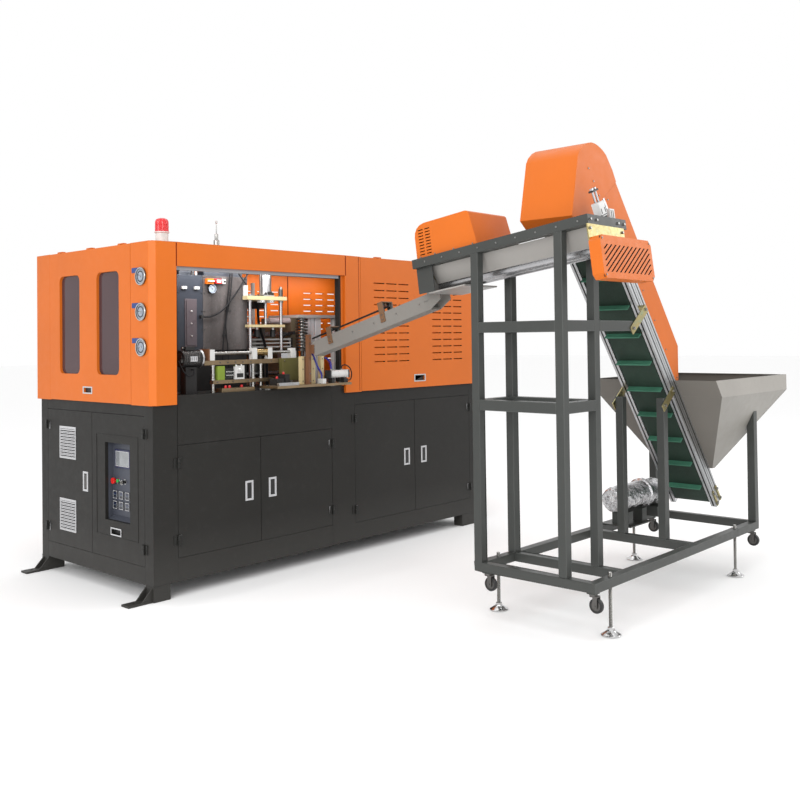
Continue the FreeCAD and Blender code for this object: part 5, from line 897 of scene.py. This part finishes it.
for i in "1234":
    dress("front_door_" + i, ["cab", "cab_edge_highlight", "silver", "hinge", "black"], 0.0008, region=door_zone)
    dress("front_latch_" + i, ["black"], 0.0006)
    dress("caster_fork_" + i, ["steel_dark"], 0.0005)
dress("stretch_crosshead", ["cream", "cream_edge_highlight", "rod", "black"], 0.0008,
      region=lambda c, n: 0 if (1615.5 < c[2] < 1634.5 and abs(c[0] - 1106) > 11 or (1615.5 < c[2] < 1634.5)) else (3 if 1548 < c[2] < 1602 and c[1] < 365 else 2))
dress("clamp_platen", ["steel_dark", "steel", "rod"], 0.0008,
      zones=[((1190.2, 1341, 549, 571, 1429, 1451), 2), ((1094, 1139.8, 519, 731, 1299, 1541), 1)])
dress("transfer_carriage", ["offwhite", "brass", "steel"], 0.0005,
      zones=[((817.8, 906.2, 64, 110, 1424, 1470), 1), ((780, 950, 108.2, 191, 1425, 1470), 2)])
dress("sorter_roller_left", ["rod"], 0.0)
dress("sorter_roller_right", ["rod"], 0.0)
dress("head_drum", ["rod"], 0.0)
dress("tail_drum", ["rod"], 0.0)


def rod_zone(c, n):
    """Yoke and nuts black on bright rods."""
    dy, dz = c[1] + 2365, c[2] - 2136
    w = dy * math.sin(A_SO) + dz * math.cos(A_SO)
    t = -(c[0] - 1240) * math.sin(math.radians(20)) + (w - 24) * math.cos(math.radians(20))
    return 1 if 137 < t < 149 else 0


dress("kicker_rods", ["rod", "black"], 0.0004, region=rod_zone)

# beacon: stepped base and a fluted red lens; the intake silencer beside it
bm = bmesh.new()
zb = 2120.0
bm_turn(bm, [(44, 0), (44, 9), (41, 12), (38, 14), (38, 60), (42, 62), (44, 64), (44, 70), (40, 71)], T(133, 100, zb), 40, 0)
bm_turn(bm, [(40, 71), (41, 74), (41, 86), (39.6, 87), (39.6, 90), (41, 91), (41, 108), (39.6, 109), (39.6, 112), (41, 113), (40, 132), (34, 145), (20, 152), (4, 154)],
        T(133, 100, zb), 64, 1, flute=(1, 10, 16, 0.07))
bm_turn(bm, [(26, 0), (26, 14), (20, 14), (20, 17), (19, 18), (19, 58), (13, 62), (12, 64), (12, 99), (4, 101), (3.5, 102), (3.5, 169), (7, 171), (7, 183), (4, 186)],
        T(600, 200, zb), 28, 2)
o = from_bm(bm, "signal_beacon_modelled", "machine", ["beacon_base", "lens", "steel"], 0.0004)
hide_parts("signal_beacon")

# gauges: case, bezel, dial with its scale, hand, and the plain tag behind
for k, zz in enumerate((1913.0, 1703.0, 1494.0)):
    bm = bmesh.new()
    m4 = aim(R(-20, 78, zz), (-1, 0, 0))
    bm_turn(bm, [(51, 0), (51, 5), (53, 6), (54, 7.5), (54, 11), (52, 13.4), (49, 14), (46.5, 13), (45.5, 11), (45.5, 9)], m4, 56, [3, 3, 0, 0, 0, 1, 1, 3, 3, 3], caps=False)
    bm_turn(bm, [(45.6, 8.6), (34, 8.8), (33.8, 9.6), (27, 9.6), (26.8, 8.9), (0.5, 8.9)], m4, 56, [2, 3, 3, 3, 2], caps=False)
    for i in range(28):
        a = math.radians(-135 + 10 * i)
        big = i % 3 == 0
        r0, r1, hw = (37 if big else 39), 43.5, (0.9 if big else 0.45)
        mm = m4 @ Matrix.Rotation(a, 4, "Z")
        bm_box(bm, -hw, hw, r0, r1, 8.6, 9.2, 3, mm)
    mm = m4 @ Matrix.Rotation(math.radians(62 + 21 * k), 4, "Z")
    bm_box(bm, -1.6, 1.6, -10, 31, 10.0, 10.6, 3, mm)
    bm_turn(bm, [(6, 8.9), (6, 11.2), (4, 12)], m4, 20, 1)
    bm_box(bm, -22.0, -20.0, 92, 184, zz + 24, zz + 54, 4)
    o = from_bm(bm, "pressure_gauge_%d" % (k + 1), "machine", ["steel", "chrome", "dial", "black", "tagblue"], 0.0)
    if k == 0:
        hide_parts("pressure_gauges")

def quad_box(bm, place, a0, a1, b0, b1, c0, c1, mat=0):
    """Box drawn in a tilted frame: place(a, b, c) gives each corner."""
    vs = [bm.verts.new(place(a, b, c)) for a in (a0, a1) for b in (b0, b1) for c in (c0, c1)]
    for f in ((0, 1, 3, 2), (4, 6, 7, 5), (0, 4, 5, 1), (2, 3, 7, 6), (0, 2, 6, 4), (1, 5, 7, 3)):
        bm.faces.new([vs[i] for i in f]).material_index = mat


def kick_place(x, l, t):
    """Tilted frame of the kicker: x across, t along its rods."""
    ca, sa = math.cos(math.radians(20)), math.sin(math.radians(20))
    return SO(1240 + x * ca - t * sa, l, 24 + x * sa + t * ca)


# dark lines on the kicker's body and foot
bm = bmesh.new()
quad_box(bm, kick_place, -30.2, 30.2, 49.8, 94.2, 5, 10)
quad_box(bm, kick_place, -24, -15, 49.8, 50.2, 16, 44)
quad_box(bm, kick_place, 15, 24, 49.8, 50.2, 16, 44)
quad_box(bm, SO, 1308, 1316, 51.8, 52.2, 20, 62)
quad_box(bm, SO, 1326, 1334, 51.8, 52.2, 20, 62)
bmesh.ops.recalc_face_normals(bm, faces=bm.faces[:])
from_bm(bm, "kicker_lines", BODY_OF["kicker_cylinder"], ["black"])

# black sheet behind the guard's slots: painted shadow where the drive lies unlit
bm = bmesh.new()
quad_box(bm, SO, 948, 1444, -69, -67, -334, -129)
bmesh.ops.recalc_face_normals(bm, faces=bm.faces[:])
from_bm(bm, "guard_shadow_sheet", BODY_OF["loader_covers"], ["black"])

# dark strips along the conveyor rails: painted shade standing in for the profile grooves
bm = bmesh.new()
for y0, y1 in ((-2178.3, -2177.7), (-1848.3, -1847.7)):
    for h0, h1 in ((16, 25), (60, 69)):
        quad_box(bm, EL, -1050, 1470, y0, y1, h0, h1, 0)
    quad_box(bm, EL, -1050, 1470, y0, y1, 40.5, 43.5, 1)
for y0 in (-2178, -1888):
    quad_box(bm, EL, -1050, 1470, y0 + 15, y0 + 25, -0.3, 0.3, 0)
    quad_box(bm, EL, -1050, 1470, y0 + 15, y0 + 25, 84.7, 85.3, 0)
bmesh.ops.recalc_face_normals(bm, faces=bm.faces[:])
from_bm(bm, "rail_groove_shade", BODY_OF["elevator_rails"], ["darkgrey", "steel_dark"])

# joint lines between the hood's fixed sheets
bm = bmesh.new()
for x0, x1, z0, z1 in ((148, 155, 1977, 2118), (1531, 1538, 1977, 2118), (1660, 1664, 1158, 2118)):
    bm_box(bm, x0, x1, -24.3, -23.5, z0, z1)
bm_box(bm, 2164, 2174, 1372.3, 1373.3, 1160, 2116)
from_bm(bm, "hood_joint_lines", "machine", ["seam"])

# vent inserts of the far end door
bm = bmesh.new()
for g0, g1 in ((293.0, 503.0), (766.0, 977.0)):
    edges = [g0 + 8]
    for i in range(9):
        edges += [g0 + 14 + 20.5 * i, g0 + 20 + 20.5 * i]
    edges.append(g1 - 8)
    for i in range(0, len(edges) - 1, 2):
        a, b2 = edges[i], edges[i + 1]
        if b2 - a < 8:
            bm_box(bm, -1.4, -0.2, 915, 1112, a, b2)
            continue
        h = (b2 - a - 2.4) / 2
        bm_box(bm, -1.6, -0.2, 915, 1112, a, a + h)
        bm_box(bm, -1.6, -0.2, 915, 1112, b2 - h, b2)
        # black strip set back in each blade's gap: painted shade in the vent opening
        bm_box(bm, -0.7, -0.2, 915, 1112, a + h, b2 - h, 1)
    for yy in (915 + 49.25 * j for j in range(1, 4)):
        bm_box(bm, -2.3, -1.5, yy - 1.4, yy + 1.4, g0 + 8, g1 - 8)
from_bm(bm, "vent_inserts", BODY_OF["end_door_left"], ["silver", "black"], 0.0003)

# console fittings: screen frame, controller rims, displays and keys
bm = bmesh.new()
for a, b2, c2, d2 in ((346, 350, 755, 850), (496, 500, 755, 850), (350, 496, 755, 759), (350, 496, 846, 850)):
    bm_box(bm, 47.2, 48.2, a, b2, c2, d2, 0)
for yy in (511.0, 441.0, 371.0):
    for zz in (576.0, 512.0):
        for a, b2, c2, d2 in ((-24, -20.5, -24, 24), (20.5, 24, -24, 24), (-20.5, 20.5, -24, -20.5), (-20.5, 20.5, 20.5, 24)):
            bm_box(bm, 48.0, 49.2, yy + a, yy + b2, zz + c2, zz + d2, 0)
        for j, (z0, z1, mm) in enumerate(((6, 14, 1), (-4, 3, 2))):
            for q in range(4):
                y0 = yy + 14 - 8.2 * q
                bm_box(bm, 48.6, 49.0, y0 - 5.2, y0, zz + z0, zz + z1, mm)
        for q in range(4):
            bm_box(bm, 48.2, 49.0, yy + 13 - 8.6 * q - 5, yy + 13 - 8.6 * q, zz - 16, zz - 11, 3)
from_bm(bm, "console_fittings", BODY_OF["control_panel"], ["silver", "led", "led_green", "inst"], 0.0002)

# return spring: wound wire, ends ground flat on its seats
bm = bmesh.new()
turns, pr = 9.0, 41.0
pts = []
for i in range(int(turns * 24) + 1):
    a = 2 * math.pi * i / 24.0
    t = i / (turns * 24)
    z = 1463 + (1667 - 1463) * t
    pts.append(R(1484 + pr * math.cos(a), 395 + pr * math.sin(a), z))
bm_tube(bm, pts, 0.0048, 12)
from_bm(bm, "return_spring", "machine", ["steel"])

# foil-wrapped blower: crumpled wrap over the barrel, flange and volute
bm = bmesh.new()
prof = []
for x, r in ((2196, 40), (2197, 70), (2204, 77), (2216, 79), (2230, 84), (2290, 85), (2350, 84), (2410, 85), (2470, 84), (2530, 85), (2556, 86),
             (2564, 98), (2580, 99), (2596, 98), (2604, 84), (2620, 80), (2636, 83), (2668, 84), (2700, 83), (2732, 84), (2756, 80), (2763, 60), (2764, 20)):
    prof.append((x, r))
fine = []
for (xa, ra), (xb, rb) in zip(prof, prof[1:]):
    n = max(1, int(abs(xb - xa) / 11))
    for i in range(n):
        t = i / n
        fine.append((xa + (xb - xa) * t, ra + (rb - ra) * t))
fine.append(prof[-1])
rows = []
crease = [rng.uniform(0, 2 * math.pi) for _ in range(9)]
for (x, r) in fine:
    row = []
    for i in range(44):
        a = 2 * math.pi * i / 44
        fold = sum(abs(math.sin(a * (2 + j % 4) + crease[j] + x * 0.013 * (j - 4))) for j in range(9)) / 9.0
        rr = r - 9.0 * (1 - fold) * rng.uniform(0.5, 1.0) - rng.uniform(0, 1.6)
        row.append(bm.verts.new(R(x + (rng.uniform(-2, 2) if 2210 < x < 2750 else 0), -1755 + rr * math.cos(a), 480 + rr * math.sin(a))))
    rows.append(row)
for k in range(len(rows) - 1):
    for i in range(44):
        j = (i + 1) % 44
        bm.faces.new((rows[k][i], rows[k][j], rows[k + 1][j], rows[k + 1][i]))
bm.faces.new(list(reversed(rows[0])))
bm.faces.new(rows[-1])
bmesh.ops.triangulate(bm, faces=bm.faces)
from_bm(bm, "blower_wrap", "machine", ["foil"], 0.0, angle=18.0)

# levelling feet: pad, lock nut and threaded stud
FEET = [(x, y) for x in (1160.0, 2680.0) for y in (-2353.0, -1638.0)]
for k, (fx, fy) in enumerate(FEET):
    bm = bmesh.new()
    m4 = T(fx, fy, 0)
    bm_turn(bm, [(48, 0), (51, 1), (52, 3), (52, 7), (50, 9), (46, 10.5), (30, 21), (24, 25), (22, 28)], m4, 48, 0)
    bm_hex(bm, T(fx, fy, 28), 30, 16, 0, washer=False)
    th = [(9.2, 44)]
    z = 46.0
    while z < 318:
        th += [(9.95, z), (8.7, z + 1.6)]
        z += 3.2
    th += [(9.6, 319), (8.4, 322)]
    bm_turn(bm, th, m4, 20, 1)
    o = from_bm(bm, "levelling_foot_%d_modelled" % (k + 1), "foot_%d" % (k + 1), ["chrome", "steel"], 0.0, angle=40)
    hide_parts("levelling_foot_%d" % (k + 1))

# caster wheels: tread, rim and hub
CAST = ((1002.0, -2350.0), (1002.0, -1690.0), (2925.0, -2353.0), (2925.0, -1638.0))
for k, (cx, cy) in enumerate(CAST):
    bm = bmesh.new()
    m4 = aim(R(cx - 12, cy - 18, 188), (1, 0, 0))
    bm_turn(bm, [(4.1, 1.5), (11, 1.5), (11, 0), (15, 0), (16, 3), (25, 3), (26.5, 0.8), (34, 0.4), (37.2, 3), (38, 8), (38, 16), (37.2, 21), (34, 23.6), (26.5, 23.2), (25, 21), (16, 21), (15, 24), (11, 24), (11, 22.5), (4.1, 22.5), (4.1, 1.5)],
            m4, 44, [1, 1, 1, 1, 1, 1, 0, 0, 0, 0, 0, 0, 0, 1, 1, 1, 1, 1, 1, 1], caps=False)
    o = from_bm(bm, "caster_wheel_%d_modelled" % (k + 1), "wheel_%d" % (k + 1), ["black", "steel_dark"], 0.0, angle=35)
    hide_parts("caster_wheel_%d" % (k + 1))

# stretch cylinder: square foot, end cap, tie rods and black ports
bm = bmesh.new()
bm_box(bm, 1060, 1152, 296, 384, 1829.2, 1842, 0)
for dx, dy in ((-37, -37), (37, -37), (-37, 37), (37, 37)):
    bm_socket(bm, T(1106 + dx, 340 + dy, 1842), 6, 7, 1)
bm_turn(bm, [(14, 0), (14, 14), (9, 16), (9, 22)], aim(R(1106, 298, 1856), (0, -1, 0)), 20, 1)
bm_turn(bm, [(10, 0), (10, 10), (7, 12), (7, 16)], aim(R(1080, 305, 1850), (-0.5, -1, 0)), 16, 1)
bm_turn(bm, [(10, 0), (10, 10), (7, 12), (7, 16)], aim(R(1134, 305, 1850), (0.5, -1, 0)), 16, 1)
for xx in (1064, 1148):
    bm_turn(bm, [(3.2, 0), (3.2, 148)], T(xx, 340, 1842), 10, 2)
for xx, yy in ((905, 262), (960, 262), (1160, 262), (1215, 262)):
    bm_socket(bm, T(xx, yy, 1829.1), 5, 5, 1)
for xx in (1003, 1024, 1086, 1104):
    bm_socket(bm, aim(R(xx, 251.8, 1794), (0, -1, 0)), 3.5, 3, 1)
# collars of the guide rods under the plate, clamp nuts on the mast
for xx in (933, 1203):
    bm_turn(bm, [(17, 0), (17, 12), (15, 13)], T(xx, 290, 1788.5), 24, 3)
bm_box(bm, 1504, 1520, 436, 449.8, 1640, 1686, 3)
from_bm(bm, "stretch_fittings", "machine", ["alu", "boltblack", "rod", "steel"], 0.0006)

# bolts and small fittings of the transfer unit and infeed
bm = bmesh.new()
for xx in (456, 478, 1114, 1137):
    bm_socket(bm, T(xx, 87, 1471), 4.5, 5, 0)
for xx in (520, 580, 640, 700, 760, 930, 1010, 1090):
    bm_socket(bm, aim(R(xx, 61.8, 1388), (0, -1, 0)), 4.5, 4, 0)
for xx in (500, 620, 740, 830, 920):
    bm_socket(bm, aim(R(xx, 61.8, 1265), (0, -1, 0)), 4.5, 4, 0)
for xx in (480, 794, 857):
    m4 = T(xx, 82, 1277)
    bm_turn(bm, [(16, 0), (16, 10), (12, 13), (12, 30), (14, 32), (14, 40), (11.5, 42)], m4, 24, 1)
    bm_turn(bm, [(15, 86), (15, 96.5)], m4, 24, 1)
    bm_turn(bm, [(15, 0), (15, 8), (12, 10)], T(xx, 82, 1200), 24, 1)
# valve terminals: coils, plugs and little tubes
for k in range(6):
    x0 = 564 + 15 * k
    bm_box(bm, x0, x0 + 11, 62.5, 71.8, 1288, 1344, 2)
    bm_turn(bm, [(3.4, 0), (3.4, 9), (2.4, 10), (2.4, 15)], aim(R(x0 + 5.5, 62.5, 1306), (0, -1, 0)), 12, 3)
    bm_turn(bm, [(3.4, 0), (3.4, 9), (2.4, 10), (2.4, 15)], aim(R(x0 + 5.5, 62.5, 1328), (0, -1, 0)), 12, 3)
bm_turn(bm, [(13, 0), (13, 6), (10, 8), (10, 12)], aim(R(661, 43.8, 1336), (0, -1, 0)), 28, 3)
bm_box(bm, 636, 686, 41.5, 43.8, 1290, 1316, 2)
bm_turn(bm, [(6, 0), (6, 10), (4, 12)], aim(R(640, 55, 1360), (0, 0, 1)), 14, 3)
bm_turn(bm, [(6, 0), (6, 10), (4, 12)], aim(R(680, 55, 1360), (0, 0, 1)), 14, 3)
# red caps on the deck plates
for xx, yy in ((560, 60), (590, 60), (700, 80)):
    bm_turn(bm, [(9, 0), (9, 14), (6, 17)], T(xx, yy, 1225), 20, 4)
for xx in (910, 965):
    bm_turn(bm, [(8, 0), (8, 12), (5, 15)], T(xx, -20, 1272 if xx < 945 else 1300), 20, 4)
# motor: end cap ribs, terminal gland, name-free plate
for k in range(9):
    m4 = aim(R(262 + 13 * k, 110, 1417), (1, 0, 0))
    bm_turn(bm, [(51.5, 0), (53.6, 1.2), (53.6, 3.8), (51.5, 5)], m4, 40, 5, caps=False)
bm_turn(bm, [(30, 0), (34, -2), (34, -6), (20, -9)], aim(R(257, 110, 1417), (1, 0, 0)), 28, 2)
bm_turn(bm, [(8, 0), (8, 12), (6, 14)], aim(R(285, 110, 1481), (-1, 0, 0)), 16, 1)
bm_box(bm, 300, 352, 58.0, 60.2, 1400, 1432, 6)
# infeed details
for xx in (830, 900, 1000, 1180, 1360, 1450):
    bm_socket(bm, T(xx, -140 if xx > 1100 else -30, 1229), 4.5, 4, 0)
for zz in (1250, 1300, 1400, 1500, 1540):
    bm_socket(bm, aim(R(1106, -125.2, zz), (0, -1, 0)), 4.5, 4, 0)
for xx in (1082, 1173, 1256):
    for zz in (1250, 1330, 1395):
        bm_socket(bm, aim(R(xx, -80.2, zz), (0, -1, 0)), 4, 3.5, 0)
for xx in (1010, 1156):
    for zz in (1275, 1385):
        bm_socket(bm, aim(R(xx, 21.8, zz), (0, -1, 0)), 4.5, 4, 0)
for k in range(3):
    bm_turn(bm, [(26.4, 0), (26.4, 6)], aim(R(1290 + 58 * k, -120, 1290), (1, 0, 0)), 36, 3)
bm_turn(bm, [(8, 0), (8, 22), (5, 24)], aim(R(1446, -120, 1290), (1, 0, 0)), 18, 1)
from_bm(bm, "transfer_fittings", "machine", ["boltblack", "steel", "black", "offwhite", "red_paint", "darkgrey", "silver"], 0.0004)

# oven: dial scale, sheet seams, screws, terminal strip
bm = bmesh.new()
m4 = aim(R(633, 296, 1869), (0, -1, 0))
for i in range(19):
    a = math.radians(-135 + 15 * i)
    bm_box(bm, -0.5, 0.5, 17, 22, 0, 0.4, 0, m4 @ Matrix.Rotation(a, 4, "Z"))
bm_box(bm, -0.8, 0.8, -6, 17, 0.6, 1.2, 0, m4 @ Matrix.Rotation(math.radians(48), 4, "Z"))
bm_turn(bm, [(3, 0), (3, 2), (2, 2.6)], m4, 16, 0)
for xx in (385, 560, 582, 920):
    for zz in (1480, 1600, 1720, 1840, 1945):
        bm_socket(bm, aim(R(xx, 312, zz), (0, -1, 0)), 4, 2.5, 1)
for k, xx in enumerate(range(598, 890, 24)):
    bm_turn(bm, [(7, 0), (7, 10), (5, 12), (5, 22)], aim(R(xx, 350, 1984), (0, 0, 1)), 14, (2, 1, 3, 1, 2)[k % 5])
for k in range(5):
    bm_turn(bm, [(5, 0), (5, 9), (3.5, 11)], aim(R(594 + 10 * k, 285, 1918), (0, -1, 0)), 12, 2)
bm_box(bm, 662, 694, 283.4, 285, 1912, 1930, 2)
bm_turn(bm, [(6, 0), (6, 12), (4, 14)], aim(R(723, 290, 1920), (0, -1, 0)), 14, 0)
for k in range(8):
    bm_turn(bm, [(7, 0), (7, -12), (5, -14)], aim(R(782 + 26 * k, 292, 2066), (0, 0, 1)), 14, 1)
bm_box(bm, 441, 509, 304, 308, 1500, 1790, 5)
for zz in (1560, 1640, 1720):
    bm_turn(bm, [(5, 0), (5, 6), (3, 8)], aim(R(475, 304, zz), (0, -1, 0)), 14, 2)
# small parts on top of the left box
bm_box(bm, 432, 486, 362, 420, 1956, 1998, 2)
bm_turn(bm, [(9, 0), (9, 16), (6, 18), (6, 30)], T(500, 330, 1956), 16, 1)
bm_turn(bm, [(7, 0), (7, 22), (5, 24)], T(530, 330, 1956), 16, 2)
from_bm(bm, "oven_fittings", "machine", ["black", "boltblack", "offwhite", "red_paint", "steel_dark", "inset"], 0.0003)

# sleeves over the blue hoses: spiral wrap
for nm, pts in (("spiral_wrap_left", [(1134, -90, 1449), (1162, -96, 1420), (1178, -102, 1370), (1196, -108, 1320), (1214, -112, 1290)]),
                ("spiral_wrap_right", [(1304, -68, 1396), (1318, -82, 1368), (1312, -104, 1340)])):
    c = spline([R(*p) for p in pts], 40)
    bm = bmesh.new()
    hel = []
    ref = Vector((0, 1, 0))
    dist = 0.0
    for i, p in enumerate(c):
        t = (c[min(i + 1, len(c) - 1)] - c[max(i - 1, 0)]).normalized()
        ref = (ref - t * ref.dot(t)).normalized()
        b3 = t.cross(ref)
        if i:
            dist += (c[i] - c[i - 1]).length
        a = dist / 0.009 * 2 * math.pi
        hel.append(p + (ref * math.cos(a) + b3 * math.sin(a)) * 0.0062)
    bm_tube(bm, hel, 0.0011, 5)
    from_bm(bm, nm, "machine", ["blue"])

# fasteners of the loader: sorter table edge, bearing plate, brackets, guard
bm = bmesh.new()
for k in range(9):
    l = 60 + 130 * k
    m4 = aim(SO(977, l, -26), (-1, 0, 0))
    bm_socket(bm, m4, 5, 4, 0)
dn = SO(0, -1, 0) - SO(0, 0, 0)
up_so = SO(0, 0, 1) - SO(0, 0, 0)
for xx in (1000, 1060, 1270, 1330):
    bm_hex(bm, aim(SO(xx, 0, -26), dn), 13, 8, 0)
for xx, ww in ((975, -75), (1290, -75), (975, -225), (1290, -225)):
    bm_hex(bm, aim(SO(xx, -8, ww), dn), 13, 8, 0)
for xx in (1126, 1206):
    bm_turn(bm, [(24, 0), (24, 5), (20, 7), (13, 7)], aim(SO(xx, -8, -163), dn), 32, 1)
    bm_hex(bm, aim(SO(xx, -20, -163), dn), 17, 9, 0)
for xx, ww in ((960, -140), (1430, -140), (960, -323), (1430, -323)):
    bm_socket(bm, aim(SO(xx, -75, ww), dn), 5, 4, 0)
for ll in (760, 900, 1040, 1150):
    for xx in (1004, 1354):
        bm_socket(bm, aim(SO(xx, ll, 10), (-1 if xx < 1100 else 1, 0, 0)), 4.5, 3.5, 0)
n_el = Vector((0, -1, 0))
for s_, y_, h_ in ((-67, -2184, -120), (-67, -2184, 15), (557, -2217, -170), (557, -2217, 8),
                   (-1030, -2184, 17), (-950, -2184, 17), (-1030, -2184, 68), (-950, -2184, 68)):
    bm_hex(bm, aim(EL(s_, y_, h_), n_el), 16, 9, 0)
for ss in (-40, 180, 400, 620, 840, 1060, 1240):
    bm_socket(bm, aim(EL(ss, -2178, 110), n_el), 4.5, 3.5, 0)
for ss in (1310, 1400, 1480):
    bm_socket(bm, aim(EL(ss, -2181, 42), n_el), 4.5, 3.5, 0)
for ll in (20, 200, 400, 600, 800, 1000):
    bm_socket(bm, aim(CH(1124, ll, -42), (-1, 0, 0)), 4.5, 3, 0)
for ll in (185, 685):
    bm_socket(bm, aim(CH(1118, ll, -44), (-1, 0, 0)), 5, 4, 0)
    bm_socket(bm, aim(CH(1118, ll, -14), (-1, 0, 0)), 5, 4, 0)
from_bm(bm, "loader_fasteners", "machine", ["bolt", "steel"], 0.0, angle=35)

# chute: black buffers under the saddles
bm = bmesh.new()
for ll, top in ((185, 46), (685, 62)):
    pts = []
    p0, p1 = CH(1126, ll - 16, 2), CH(1206, ll + 16, top)
    xs = (1130, 1202)
    for x0, x1 in ((1128, 1140), (1192, 1204)):
        c8 = [CH(x, l, w) for x in (x0, x1) for l in (ll - 14, ll + 14) for w in (2, top - 1)]
        vs = [bm.verts.new(v) for v in c8]
        for q in ((0, 1, 3, 2), (4, 6, 7, 5), (0, 4, 5, 1), (2, 3, 7, 6), (0, 2, 6, 4), (1, 5, 7, 3)):
            bm.faces.new([vs[i] for i in q])
from_bm(bm, "chute_buffers", "machine", ["black"], 0.001)

# ------------------------------------------------------------ floor and light
bm = bmesh.new()
bmesh.ops.create_grid(bm, x_segments=1, y_segments=1, size=60.0)
me = bpy.data.meshes.new("floor")
bm.to_mesh(me)
bm.free()
floor = bpy.data.objects.new("floor", me)
floor.location = (0, 0, -0.0005)
bpy.context.scene.collection.objects.link(floor)
fm, nt, b = new_mat("floor_white")
b.inputs["Base Color"].default_value = (0.97, 0.97, 0.97, 1)
b.inputs["Roughness"].default_value = 0.9
b.inputs["Specular IOR Level"].default_value = 0.1
floor.data.materials.append(fm)

world = bpy.data.worlds.new("studio")
bpy.context.scene.world = world
world.use_nodes = True
bg = world.node_tree.nodes["Background"]
bg.inputs["Color"].default_value = (1.0, 1.0, 1.0, 1)
bg.inputs["Strength"].default_value = 1.0
bpy.context.scene.view_settings.view_transform = "Standard"
bpy.context.scene.view_settings.look = "None"


def area(name, loc, target, size_x, size_y, power, color=(1, 1, 1)):
    li = bpy.data.lights.new(name, "AREA")
    li.shape = "RECTANGLE"
    li.size, li.size_y = size_x, size_y
    li.energy = power
    li.color = color
    ob = bpy.data.objects.new(name, li)
    ob.location = loc
    d = Vector(target) - Vector(loc)
    ob.rotation_euler = d.to_track_quat("-Z", "Y").to_euler()
    bpy.context.scene.collection.objects.link(ob)
    return ob


area("key_light", (-8.0, -3.2, 3.6), (-0.5, 0.2, 1.2), 4.5, 3.5, 330)
area("low_front", (-3.0, -9.0, 2.2), (0, 0.2, 1.4), 4.0, 2.0, 90)
area("side_light", (6.5, -5.0, 4.5), (0.5, -0.5, 1.0), 4.0, 3.0, 110)
area("top_light", (0, 0, 7.0), (0, 0, 0), 6.0, 6.0, 90)
area("bay_light", R(760, 150, 2052), R(760, 700, 1500), 1.1, 0.12, 8)
area("rear_bay_light", R(1640, 1120, 2040), R(1640, 1372, 1600), 2.1, 0.08, 6)

# -------------------------------------------------------------------- camera
cam = bpy.data.cameras.new("photo_camera")
cam.sensor_fit = "HORIZONTAL"
cam.sensor_width = 36.0
F_PX, CX, CY = 931.0, 431.8, 319.9
cam.lens = F_PX / 800.0 * 36.0
cam.shift_x = (400.0 - CX) / 800.0
cam.shift_y = (CY - 400.0) / 800.0
cam.clip_end = 200.0
yaw, pitch, roll = math.radians(48.58), math.radians(-1.15), math.radians(-0.74)
fwd = Vector((math.sin(yaw) * math.cos(pitch), math.cos(yaw) * math.cos(pitch), -math.sin(pitch)))
right = Vector((math.cos(yaw), -math.sin(yaw), 0))
up = right.cross(fwd)
r2 = right * math.cos(roll) + up * math.sin(roll)
u2 = -right * math.sin(roll) + up * math.cos(roll)
cam_ob = bpy.data.objects.new("photo_camera", cam)
m3 = Matrix((r2, u2, -fwd)).transposed()
cam_ob.matrix_world = Matrix.Translation(R(-3007.7, -4840.6, 1522.8)) @ m3.to_4x4()
bpy.context.scene.collection.objects.link(cam_ob)
bpy.context.scene.camera = cam_ob
